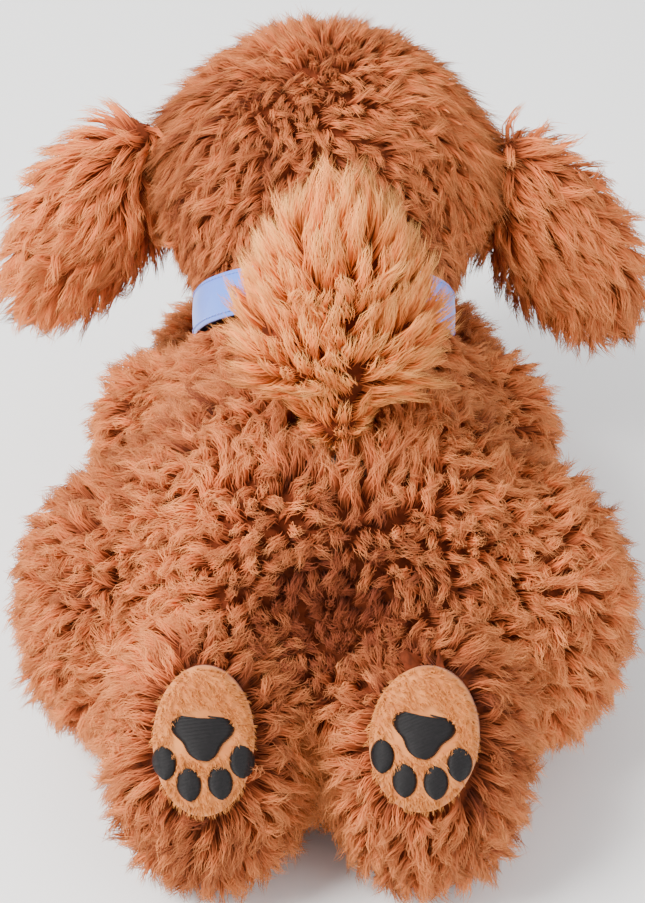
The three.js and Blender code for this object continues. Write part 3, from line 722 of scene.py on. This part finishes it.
def near_sole(points, reach):
    """How deep the points lie within any sole's oval, from 0 outside to 1 at its middle."""
    depth = np.zeros(len(points))
    for centre, normal, toe, side, half_width, half_length in SOLES.values():
        away = points - centre
        oval = np.hypot(away @ side / half_width, away @ toe / half_length)
        close = np.abs(away @ normal) < reach
        depth = np.maximum(depth, np.where(close, np.clip(1 - oval, 0, 1), 0))
    return depth


def in_hollow(points):
    """1 in the hollow under the tail and between the haunches, fading out round it."""
    hollow = np.array([TAIL_AT[0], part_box("body_cover")[1].y - 0.013, 0.80 * TAIL_AT[2]])
    return fade((points - hollow) / [1.2, 1, 1], HOLLOW_REACH)


BODY_PILE = 0.0052
BELLY_PILE = 0.0024
NECK_PILE = 0.0014
HEAD_PILE = 0.0046
CHIN_PILE = 0.0028
EAR_PILE = 0.0036
TAIL_ROOT_PILE = 0.0025
TAIL_TIP_PILE = 0.012
HOLLOW_DEPTH = 0.012
BODY_MIDDLE = Vector((0, 0.020, 0.055))
HEAD_MIDDLE = Vector((0, -0.080, 0.122))
FACE_REACH = 0.014
body_core = star_form(BODY_MIDDLE, "body_cover", "body_stuffing", "case_lower",
                      "belly_hem", "battery_door")
leg_forms = {leg: remeshed(node_form(leg), 0.0035, 2) for leg in LEGS}
trunk = remeshed(joined([body_core] + list(leg_forms.values())), 0.0034, 8)
trunk = (trunk[0] - HOLLOW_DEPTH * vertex_normals(*trunk) * in_hollow(trunk[0])[:, None],
         trunk[1])
trunk_base = inset(trunk, BODY_PILE - (BODY_PILE - NECK_PILE) * by_collar(trunk[0]), BELLY_PILE)
head_core = remeshed(star_form(HEAD_MIDDLE, "head_cover", "head_stuffing"), 0.003, 5)
face_gap = np.min([np.linalg.norm(head_core[0] - middle_of(node), axis=1) for node in FACE], axis=0)
bare = np.maximum(np.exp(-(face_gap / FACE_REACH) ** 2)[:, None], by_collar(head_core[0]))
head_depth = HEAD_PILE - (HEAD_PILE - NECK_PILE) * bare
head_base = inset(head_core, head_depth, head_depth)
chin_base = inset(remeshed(node_form("chin_cover"), 0.0028, 5), CHIN_PILE, CHIN_PILE)
ear_bases = {side: inset(remeshed(node_form(f"ear_{side}"), 0.003, 10), EAR_PILE, EAR_PILE)
             for side in SIDES}
ball_points, ball_faces = unit_ball()
tail_sleeve = ball_points * TAIL_SLEEVE_RADII + TAIL_AT + TAIL_SLEEVE_RISE * UP
tail_form = remeshed(joined([node_form("tail_plush"), (tail_sleeve, ball_faces)]), 0.003, 8)
tail_height = np.clip((tail_form[0][:, 2:3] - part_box("tail_plush")[0].z) / 0.03, 0, 1)
tail_depth = TAIL_ROOT_PILE + (TAIL_TIP_PILE - TAIL_ROOT_PILE) * tail_height
tail_base = inset(tail_form, tail_depth, TAIL_ROOT_PILE)

backing = new_material("fur_backing", srgb(98, 42, 22), 0.9, Specular_IOR_Level=0.1)
noise_colour(backing, srgb(76, 32, 16), srgb(118, 52, 28), 260)

make_camera()
make_studio()
fur_look = fur_material("fur", FUR_DARK, FUR_LIGHT)
tail_look = fur_material("tail_fur", TAIL_DARK, TAIL_LIGHT)

skins = {"body_cover": skin_piece("body_skin", held_inside(remeshed(body_core, 0.004, 3), trunk_base),
                                  "body", "body_cover", opening=body_opening)}
for leg, form in leg_forms.items():
    skins[leg] = skin_piece(leg + "_skin", held_inside(form, trunk_base), "body", leg)
skin_piece("head_skin", head_base, "head", "head_cover", opening=head_opening)
skin_piece("chin_skin", chin_base, "jaw", "chin_cover")
for side in SIDES:
    skin_piece(f"ear_{side}_skin", ear_bases[side], f"ear_{side}", f"ear_{side}")
skin_piece("tail_skin", tail_base, "tail", "tail_plush", slot="tail_fur")

stuffing_look = new_material("fibre_filling", (0.88, 0.87, 0.82), 0.95)
MOUTH_ROOF = 0.013
FILLING_DEPTH = 0.0045
RUCK_DEPTH = 0.0005
RUCK_SIZE = 0.004
for body, limit in (("body", trunk_base), ("head", head_base)):
    node = f"{body}_stuffing"
    points, faces = remeshed(node_form(node), 0.004, 2)
    points, faces = held_inside((points, faces), inset(limit, FILLING_DEPTH, FILLING_DEPTH - 0.001))
    normals = vertex_normals(points, faces)
    points = points - normals * (0.0006 + RUCK_DEPTH * patchy(points, RUCK_SIZE, 5))[:, None]
    if body == "head":
        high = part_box("chin_cover")[1]
        mouth = inside_box(points, "chin_cover", (0.006, 0.006, MOUTH_ROOF))
        points[mouth, 2] = high.z + MOUTH_ROOF
    filling = mesh_object(f"{body}_filling", points, faces)
    dressed(filling, stuffing_look, body, "stuffing", node)

# ---- the dog's fur
CURLY = dict(spacing=0.0035, strands=24, spread=0.0024, gather=0.22, lean=(6, 66), unruly=22,
             curl=80, wave=0.085, waves=1.3, thickness=0.00013, sunk=0.0008,
             rings=(0.0, 0.38, 0.72), length=0.0124, core=0.0010)
SHORT = dict(CURLY, spacing=0.0031, strands=20, spread=0.0022, lean=(22, 84), unruly=16, curl=50,
             rings=(0.0, 0.5), length=0.0108, core=0.0008, thickness=0.00012)
EAR = dict(CURLY, spacing=0.0035, strands=22, spread=0.0027, lean=(36, 86), unruly=14, curl=30,
           length=0.0165, wave=0.06)
TAIL = dict(CURLY, spacing=0.0036, strands=28, spread=0.0029, lean=(30, 66), unruly=9, curl=16,
            length=0.0180, wave=0.05, thickness=0.00012)


def furry(name, form, style, body, node, seed, lay, wander, keep=None, scale=None, rise=None,
          stand=None, slot="fur", look=None, tone=0.5, share=None):
    """Covers a form with locks. The options are functions of the roots and their normals:

    lay gives the way the locks lie, keep where they grow, scale their length, rise the way they
    leave the skin and stand how much they lean. tone and wander are numbers or functions of the
    roots, and share tells the nodes of one form apart.
    """
    rng = np.random.default_rng(seed)
    roots, normals = sample_surface(form, style["spacing"], rng)
    if keep is not None:
        wanted = keep(roots, normals)
        roots, normals = roots[wanted], normals[wanted]
    count = len(roots)
    length = style["length"] * rng.uniform(0.8, 1.2, count)
    if scale is not None:
        length = length * scale(roots, normals)
    direction = lay(roots, normals)
    if rise is not None:
        normals = rise(roots, normals)
    tones = tone(roots) if callable(tone) else np.full(count, tone)
    locks = {
        "roots": roots, "normals": normals, "length": length,
        "comb": laid(direction, normals, wander(roots) if callable(wander) else wander, roots, seed),
        "lean_share": stand(roots, normals) if stand else np.ones(count),
        "shade": (tones + rng.normal(0, SHADE_SPREAD, count)
                  + SHADE_SWING * patchy(roots, SHADE_PATCH, seed + 1)),
    }
    owners = share(roots) if share else np.zeros(count, int)
    for owner, node_name in enumerate(node if share else [node]):
        mine = owners == owner
        part = {key: values[mine] for key, values in locks.items()}
        label = f"{node_name}_fur" if share else name
        grow(label, part, style, body, node_name, slot, look or fur_look, seed + 2 + owner)


trunk_nodes = ["body_cover"] + list(LEGS)
trunk_trees = [tree_of(mesh_arrays(skins[node].data)) for node in trunk_nodes]


def nearest_part(points):
    """Which of the body and legs each point of the trunk's surface belongs to."""
    gaps = [[tree.find_nearest(Vector(p))[3] for p in points] for tree in trunk_trees]
    return np.argmin(np.array(gaps), axis=0)


def trunk_keep(points, normals):
    open_skin = body_opening(points) | inside_box(points, "belly_hem", 0.001)
    collar = (up_neck(points) > -COLLAR_CLEAR) & (off_neck(points) < COLLAR_REACH)
    return ~(open_skin | collar | (near_sole(points, 0.012) > 0.06))


def round_slot(points):
    """1 beside the tail's slot, fading out round it."""
    return fade((points - TAIL_AT)[:, :2], SLOT_REACH) * (points[:, 2] > BACK_HEIGHT)


def trunk_scale(points, normals):
    floor = np.clip((points[:, 2] - 0.001) / 0.012, 0.28, 1)
    collar = np.clip((-up_neck(points) - 0.006) / 0.012, 0.35, 1)
    scale = np.where(off_neck(points) < COLLAR_REACH + 0.004, np.minimum(floor, collar), floor)
    return scale * (1 - 0.7 * in_hollow(points) + 0.8 * round_slot(points))


def trunk_lay(points, normals):
    """Down and back along the flanks, out from each sole, and in towards the tail."""
    lay = np.stack([points[:, 0] * 4, 0.25 + 0 * points[:, 1], -0.55 + 0 * points[:, 2]], axis=1)
    for centre, normal, toe, side, _, _ in SOLES.values():
        away = points - centre
        near = fade(away, SOLE_REACH)[:, None]
        lay = lay * (1 - near) + unit(away - np.outer(away @ normal, normal)) * near
    to_tail = TAIL_AT + TAIL_FOOT * UP - points
    near = fade(to_tail[:, :2], TAIL_REACH)[:, None] * (points[:, 2:3] > BACK_HEIGHT)
    return lay * (1 - near) + unit(to_tail) * near


def trunk_rise(points, normals):
    """Locks round the tail's slot stand up and close over it."""
    inward = unit((TAIL_AT - points) * np.array([1, 1, 0]))
    return unit(normals + (0.5 * inward + 1.2 * UP) * round_slot(points)[:, None])


# Fur tone on the body: much darker in the hollow under the tail, which is painted shade, and a little lighter
# below the top of the hind legs, which is painted light on the haunches.
def trunk_tone(points):
    low = np.clip((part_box("hind_leg_left")[1].z - points[:, 2]) / 0.05, 0, 1)
    return 0.49 + 0.1 * low - 1.3 * in_hollow(points)


def trunk_wander(points):
    """Tight curls on the back and rump, combed waves down the flanks and legs."""
    back = np.exp(-(np.linalg.norm((points - TAIL_AT) / [1, 1, 0.9], axis=1) / BACK_REACH) ** 4)
    return 30 + 75 * back


furry("trunk", trunk_base, CURLY, "body", trunk_nodes, 11, trunk_lay, trunk_wander, trunk_keep,
      trunk_scale, trunk_rise, lambda points, normals: 1 - 0.7 * round_slot(points),
      tone=trunk_tone, share=nearest_part)


LIP = 0.006
CROWN = np.array([0, -0.085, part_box("head_cover")[1].z])
EAR_ROOTS = {side: np.array(JOINTS[f"ear_{side}_flop"]["pos_m"]) for side in SIDES}
EAR_WAYS = {side: unit(middle_of(f"ear_{side}") - EAR_ROOTS[side]) for side in SIDES}
EAR_LIFT = 0.008 * UP
EAR_FAN = 0.06


def head_keep(points, normals):
    wide, back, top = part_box("chin_cover")[1]
    mouth = (np.abs(points[:, 0]) < wide) & (points[:, 1] < back) & (points[:, 2] < top + LIP)
    roof = mouth & (normals[:, 2] < -0.2)
    face = np.zeros(len(points), bool)
    for node in FACE:
        face |= inside_box(points, node, (-0.0006, 0.004, -0.0006))
    return ~(roof | face | head_opening(points) | (up_neck(points) < COLLAR_CLEAR))


def head_scale(points, normals):
    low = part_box("nose")[0]
    muzzle = np.clip((points[:, 1] - low[1]) / 0.05, 0.5, 1)
    collar = np.clip((up_neck(points) - 0.004) / 0.012, 0.4, 1)
    scale = np.minimum(muzzle, collar)
    for root in EAR_ROOTS.values():
        scale = scale + 1.4 * fade(points - root - EAR_LIFT, EAR_TUFT_REACH)
    return scale


def by_ear(points):
    """1 at an ear's root, fading out round it, and the way that ear points."""
    near, way = np.zeros((len(points), 1)), np.zeros_like(points)
    for name, root in EAR_ROOTS.items():
        close = fade(points - root - EAR_LIFT, EAR_REACH)[:, None]
        near, way = near + close, way + close * EAR_WAYS[name]
    return near, way


def from_crown(points, normals):
    return points - CROWN


def head_rise(points, normals):
    """Locks beside an ear reach out over its root."""
    return unit(normals + 0.9 * by_ear(points)[1])


def head_stand(points, normals):
    """Locks stand up on the crown and beside the ears."""
    return 1 - 0.4 * by_ear(points)[0][:, 0] - 0.6 * fade(points - CROWN, CROWN_REACH)


furry("head_fur", head_base, SHORT, "head", "head_cover", 101, from_crown, 30, head_keep,
      head_scale, head_rise, head_stand, tone=0.54)
furry("chin_fur", chin_base, dict(SHORT, length=0.005), "jaw", "chin_cover", 131, from_crown, 30,
      lambda points, normals: normals[:, 2] < 0.5)
# The ears' locks take a much lighter tone than the head's: painted light on the ears.
for name, sign in SIDES.items():
    furry(f"ear_{name}_fur", ear_bases[name], EAR, f"ear_{name}", f"ear_{name}", 201 + 7 * sign,
          lambda points, normals: 0.3 * EAR_WAYS[name] + (points - EAR_ROOTS[name]) / EAR_FAN, 26,
          tone=0.95)


TAIL_MIDDLE = middle_of("tail_plush")
TAIL_WAY = unit(TAIL_MIDDLE - TAIL_AT)
TAIL_FAN = 0.05


def tail_lay(points, normals):
    """Up along the tail, a little fanned out."""
    return TAIL_WAY + (points - TAIL_MIDDLE) / TAIL_FAN


def tail_scale(points, normals):
    """Short at the root, and longer at the tip than on the sides."""
    root = np.clip((points[:, 2] - TAIL_AT[2] - 0.002) / 0.028, 0.35, 1)
    return root * (1 - 0.16 * np.abs(normals[:, 0]) + 0.1 * np.clip(normals[:, 2], 0, 1))


def tail_tone(points):
    """Lighter towards the tip: painted light on the tail's upper part."""
    return 0.2 + 0.45 * np.clip((points[:, 2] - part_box("tail_plush")[0].z) / 0.05, 0, 1)


furry("tail_fur", tail_base, TAIL, "tail", "tail_plush", 301, tail_lay, 14, scale=tail_scale,
      slot="tail_fur", look=tail_look, tone=tail_tone)


# ---- soles and embroidery
def swept(centres, across, up, radii, sides=6):
    """A closed tube through some centres; across and up span its round section."""
    angle = np.arange(sides) * 2 * math.pi / sides
    ring = (across[:, None] * np.cos(angle)[:, None] + up[:, None] * np.sin(angle)[:, None])
    body = centres[:, None] + ring * np.asarray(radii)[:, None, None]
    count = len(centres)
    vertices = np.concatenate([body.reshape(-1, 3), centres[:1], centres[-1:]])
    faces = ring_faces(count, sides)
    first, last, top = count * sides, count * sides + 1, (count - 1) * sides
    for j in range(sides):
        k = (j + 1) % sides
        faces += [(first, k, j), (last, top + j, top + k)]
    return vertices, np.array(faces)


SOLE_CROWN = 0.0026
SOLE_THICK = 0.0070
SOLE_ROLL = 0.0022
ROLL_STARTS = 0.86


def sole_point(sole, u, v, lift=0.0):
    """A place on a sole's domed face: u across it, v towards the toes, lift above it."""
    centre, normal, toe, side, half_width, half_length = sole
    oval = np.minimum(np.hypot(u / half_width, v / half_length), 1)
    roll = SOLE_ROLL * np.clip((oval - ROLL_STARTS) / (1 - ROLL_STARTS), 0, 1) ** 2
    height = SOLE_CROWN * (1 - oval ** 2) - roll + lift
    return (centre + np.multiply.outer(u, side) + np.multiply.outer(v, toe)
            + np.multiply.outer(height, normal))


def oval_grid(rings, sectors):
    """Shares of the radius and angles of a round patch's points, and its triangles."""
    share = np.concatenate([[0], np.repeat(np.arange(1, rings + 1) / rings, sectors)])
    angle = np.concatenate([[0], np.tile(np.arange(sectors) * 2 * math.pi / sectors, rings)])
    faces = [(0, 1 + j, 1 + (j + 1) % sectors) for j in range(sectors)]
    for i in range(rings - 1):
        for j in range(sectors):
            k = (j + 1) % sectors
            a, b = 1 + i * sectors, 1 + (i + 1) * sectors
            faces += [(a + j, b + j, b + k), (a + j, b + k, a + k)]
    return share, angle, np.array(faces)


def sole_form(sole):
    """The domed velour patch, closed behind."""
    centre, normal, _, _, half_width, half_length = sole
    sectors = 72
    share, angle, faces = oval_grid(16, sectors)
    front = sole_point(sole, share * np.cos(angle) * half_width, share * np.sin(angle) * half_length)
    back = front - normal * SOLE_THICK
    count = len(front)
    rim = np.arange(count - sectors, count)
    step = np.roll(rim, -1)
    wall = np.concatenate([np.stack([rim, rim + count, step + count], axis=1),
                           np.stack([rim, step + count, step], axis=1)])
    whole = np.concatenate([faces, faces[:, ::-1] + count, wall])
    return np.concatenate([front, back]), whole[:, ::-1]


def chords(outline, v):
    """Where the line at height v crosses a closed outline, as pairs of u."""
    after = np.roll(outline, -1, axis=0)
    low, high = outline[:, 1], after[:, 1]
    cuts = (low <= v) != (high <= v)
    t = (v - low[cuts]) / (high[cuts] - low[cuts])
    return np.sort(outline[cuts, 0] + t * (after[cuts, 0] - outline[cuts, 0])).reshape(-1, 2)


THREAD = 0.00026
STITCH_LIFT = 0.0003
STITCH_ARCH = 0.0011
STITCH_SLANT = 0.0006


def satin_pad(sole, outline):
    """Raised rows of thread laid side by side across one pad."""
    forms = []
    rows = np.arange(outline[:, 1].min() + THREAD, outline[:, 1].max(), THREAD * 1.5)
    t = np.linspace(0, 1, 9)
    for row in rows:
        for start, end in chords(outline, row):
            if end - start < 4 * THREAD:
                continue
            u = start + (end - start) * t
            arch = STITCH_LIFT + STITCH_ARCH * np.sin(math.pi * t) ** 0.5
            centres = sole_point(sole, u, row + STITCH_SLANT * (t - 0.5), arch)
            along = unit(np.gradient(centres, axis=0))
            across = unit(np.cross(along, sole[1]))
            girth = THREAD * np.clip(np.sin(math.pi * (0.06 + 0.88 * t)) * 3, 0.4, 1)
            forms.append(swept(centres, across, np.cross(across, along), girth))
    return joined(forms)


TOE_ANGLES = (-62, -18, 24, 64)
TOE_REACH = 0.0126
PAD_REACH = 0.0072
TOE_WIDE = 0.0036
TOE_LONG = 0.0047


def paw_print():
    """The outlines of the pad and the toes."""
    turn = np.linspace(0, 2 * math.pi, 64, endpoint=False)
    lobed = PAD_REACH * (1 + 0.2 * np.cos(3 * turn))
    outlines = [np.stack([lobed * np.sin(turn) * 1.16, lobed * np.cos(turn) * 0.86 - 0.0022], axis=1)]
    for angle in np.radians(TOE_ANGLES):
        toe = np.stack([TOE_WIDE * np.sin(turn), TOE_LONG * np.cos(turn)], axis=1)
        outlines.append(toe + TOE_REACH * np.array([math.sin(angle), math.cos(angle)]))
    return outlines


sole_look = new_material("sole_velour", srgb(204, 120, 54), 0.8, Sheen_Weight=0.1)
noise_colour(sole_look, srgb(186, 104, 44), srgb(214, 134, 66), 180)
# The pile's ramps are darker at the root: painted shade down in the pile.
pile_look = fur_material("sole_pile", (srgb(160, 84, 36), srgb(190, 106, 46), srgb(206, 120, 58)),
                         (srgb(184, 102, 44), srgb(222, 138, 68), srgb(238, 160, 88)))
thread_look = new_material("embroidery", srgb(14, 11, 12), 0.6, Specular_IOR_Level=0.3)
noise_colour(thread_look, srgb(8, 6, 7), srgb(20, 16, 18), 900)
VELOUR = dict(CURLY, spacing=0.0012, strands=5, spread=0.0009, lean=(20, 55), unruly=18, curl=30,
              length=0.0026, thickness=0.00011, rings=(0.0, 0.5), gather=0.2, sunk=0.0003,
              core=0)


def clear_of_print(sole, outlines):
    def keep(points, normals):
        away = points - sole[0]
        places = np.stack([away @ sole[3], away @ sole[2]], axis=1)
        clear = (normals @ sole[1] > 0.3) & (np.hypot(places[:, 0] / sole[4],
                                                       places[:, 1] / sole[5]) < 0.97)
        for outline in outlines:
            middle = outline.mean(axis=0)
            size = np.abs(outline - middle).max(axis=0) + 0.0006
            clear &= np.hypot(*((places - middle) / size).T) > 0.94
        return clear
    return keep


for number, (name, sole) in enumerate(SOLES.items()):
    node = f"hind_sole_{name}"
    form = sole_form(sole)
    patch = mesh_object(f"{node}_velour", *form)
    dressed(patch, sole_look, "body", "sole_fabric", node)
    outlines = paw_print()
    threads = joined([satin_pad(sole, outline) for outline in outlines])
    stitches = mesh_object(f"{node}_embroidery", *threads)
    dressed(stitches, thread_look, "body", "sole_fabric")
    furry(f"{node}_pile", form, VELOUR, "body", node, 401 + number,
          lambda points, normals: np.broadcast_to(sole[2] + 0.3 * sole[3], points.shape), 25,
          clear_of_print(sole, outlines), slot="sole_fabric", look=pile_look)


# ---- collar
def ring_form(profile, segments, wobble, seed, start=0.0, end=2 * math.pi):
    """A closed band about the neck; profile is points of (along the neck, out from it)."""
    first = unit(np.cross(NECK_AXIS, [1.0, 0, 0]))
    second = np.cross(NECK_AXIS, first)
    whole = end - start >= 2 * math.pi
    turn = np.linspace(start, end, segments, endpoint=not whole)
    radial = np.outer(np.cos(turn), first) + np.outer(np.sin(turn), second)
    profile = np.array(profile)
    ripple = wobble * patchy(np.stack([np.cos(turn), np.sin(turn), 0 * turn], axis=1), 0.14, seed)
    rings = (NECK_AT + np.multiply.outer(profile[:, 0], NECK_AXIS)[None]
             + radial[:, None] * (profile[None, :, 1:] + ripple[:, None, None]))
    sides = len(profile)
    faces = []
    for i in range(segments if whole else segments - 1):
        for j in range(sides):
            k, n = (j + 1) % sides, (i + 1) % segments
            faces.append((i * sides + j, n * sides + j, n * sides + k, i * sides + k))
    quads = np.array(faces)
    triangles = np.concatenate([quads[:, [0, 1, 2]], quads[:, [0, 2, 3]]])
    if not whole:
        caps = []
        for i, flip in ((0, 1), (segments - 1, -1)):
            for j in range(1, sides - 1):
                caps.append(np.array([0, j, j + 1])[::flip] + i * sides)
        triangles = np.concatenate([triangles, np.array(caps)])
    return rings.reshape(-1, 3), triangles


def squared_off(wave, power):
    return np.sign(wave) * np.abs(wave) ** power


def band_profile(half_width, inner, outer, crown):
    """A soft flat strip with rolled edges."""
    turn = np.linspace(0, 2 * math.pi, 28, endpoint=False)
    along = half_width * squared_off(np.cos(turn), 0.45)
    middle, half = (inner + outer) / 2, (outer - inner) / 2
    out = middle + half * squared_off(np.sin(turn), 0.6)
    return np.stack([along, out + crown * (1 - (along / half_width) ** 2)], axis=1)


satin_look = new_material("collar_satin", srgb(84, 130, 240), 0.38, Sheen_Weight=0.5,
                          Coat_Weight=0.15)
noise_bump(satin_look, 900, 0.25)
collar_inner = off_neck(node_form("collar")[0]).min()
collar_band = mesh_object("collar_band", *ring_form(
    band_profile(0.0079, collar_inner + 0.0003, collar_inner + 0.0017, 0.0007), 220, 0.0001, 21))
collar_end = mesh_object("collar_overlap", *ring_form(
    band_profile(0.0077, collar_inner + 0.0019, collar_inner + 0.0030, 0.0006), 24, 0.0, 22,
    math.radians(-14), math.radians(14)))
SEAM_EDGE = 0.0064
SEAM_HEIGHT = 0.0021
SEAM_THREAD = 0.00018
STITCHES = 150
STITCH_TURN = 0.015
seams = []
for edge in (-SEAM_EDGE, SEAM_EDGE):
    for k in range(STITCHES):
        middle = (k + 0.5) * 2 * math.pi / STITCHES
        bead = [(edge + SEAM_THREAD * c, collar_inner + SEAM_HEIGHT + SEAM_THREAD * s)
                for c, s in ((1, 0), (0, 1), (-1, 0), (0, -1))]
        seams.append(ring_form(bead, 4, 0.0, 1, middle - STITCH_TURN, middle + STITCH_TURN))
collar_thread = mesh_object("collar_stitching", *joined(seams))
dressed(collar_band, satin_look, "collar", "collar_satin", "collar")
for piece in (collar_end, collar_thread):
    dressed(piece, satin_look, "collar", "collar_satin")

# ---- face
NOSTRIL_SIDE = 0.0036
NOSTRIL_DEPTH = 0.0022
NOSTRIL_REACH = 0.0018
glossy = new_material("gloss_black", srgb(9, 7, 7), 0.12, Specular_IOR_Level=0.22)
noise_bump(glossy, 60, 0.02)
for node in FACE:
    bead = mesh_object(node + "_bead", *remeshed(node_form(node), 0.0005, 14))
    if node == "nose":
        low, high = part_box(node)
        middle = (low + high) / 2
        points = mesh_arrays(bead.data)[0]
        for sign in SIDES.values():
            nostril = np.array([middle.x + sign * NOSTRIL_SIDE, low.y + 0.0008, middle.z - 0.0012])
            points[:, 1] += NOSTRIL_DEPTH * fade(points - nostril, NOSTRIL_REACH)
        move_points(bead.data, points)
    dressed(bead, glossy, "head", "gloss_black", node)

TONGUE_WIDTH = 0.027
TONGUE_OVER = 0.004
tongue_look = new_material("tongue_felt", srgb(214, 120, 124), 0.85, Sheen_Weight=0.3)
noise_colour(tongue_look, srgb(200, 104, 110), srgb(226, 138, 140), 500)
low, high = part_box("tongue")
jaw_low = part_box("lower_jaw")[0]
points, faces = remeshed(node_form("tongue"), 0.0005, 6)
wider = TONGUE_WIDTH / (high.x - low.x)
longer = (high.y - jaw_low.y + TONGUE_OVER) / (high.y - low.y)
points[:, 0] *= wider
points[:, 1] = high.y + (points[:, 1] - high.y) * longer
tongue = mesh_object("tongue_felt", points, faces)
dressed(tongue, tongue_look, "jaw", "tongue_fabric", "tongue")

hem_look = new_material("hem_tape", srgb(120, 66, 44), 0.85)
noise_colour(hem_look, srgb(100, 52, 34), srgb(140, 80, 54), 400)
hem = mesh_object("belly_hem_tape", *remeshed(node_form("belly_hem"), 0.0014, 3))
dressed(hem, hem_look, "body", "hem_fabric", "belly_hem")

# ---- case, drives and cells
FINISHES = {
    "case_plastic": (srgb(56, 56, 60), 0.5, 0.0, 700, 0.1),
    "light_plastic": (srgb(216, 212, 202), 0.45, 0.0, 500, 0.05),
    "gear_plastic": (srgb(240, 238, 228), 0.4, 0.0, 500, 0.04),
    "motor_steel": (srgb(188, 188, 192), 0.3, 1.0, 300, 0.04),
    "steel": (srgb(196, 198, 200), 0.28, 1.0, 300, 0.03),
    "battery_sleeve": (srgb(74, 126, 88), 0.3, 0.0, 200, 0.02),
    "board": (srgb(30, 104, 60), 0.4, 0.0, 400, 0.06),
    "speaker_black": (srgb(40, 40, 42), 0.55, 0.0, 900, 0.2),
    "switch_grey": (srgb(110, 112, 116), 0.5, 0.0, 600, 0.08),
}
finish_looks = {}
for slot_name, (colour, roughness, metallic, grain, strength) in FINISHES.items():
    look = new_material(slot_name, colour, roughness, metallic)
    noise_bump(look, grain, strength)
    finish_looks[slot_name] = look
# The jaw and skull plastic is coloured a dark fur brown instead of its own finish, so that where it shows through
# gaps it is painted shade.
plastic_painted_shade = new_material("skull_painted_shade", srgb(64, 30, 22), 0.6)
noise_bump(plastic_painted_shade, 500, 0.05)
for subpart in frame["record"]["subparts"]:
    look = finish_looks.get(subpart["material_slot"])
    node = NODES[subpart["node"]]
    if subpart["node"] in ("lower_jaw", "skull_front", "skull_rear"):
        look = plastic_painted_shade
    if look is not None:
        node.data.materials.clear()
        node.data.materials.append(look)
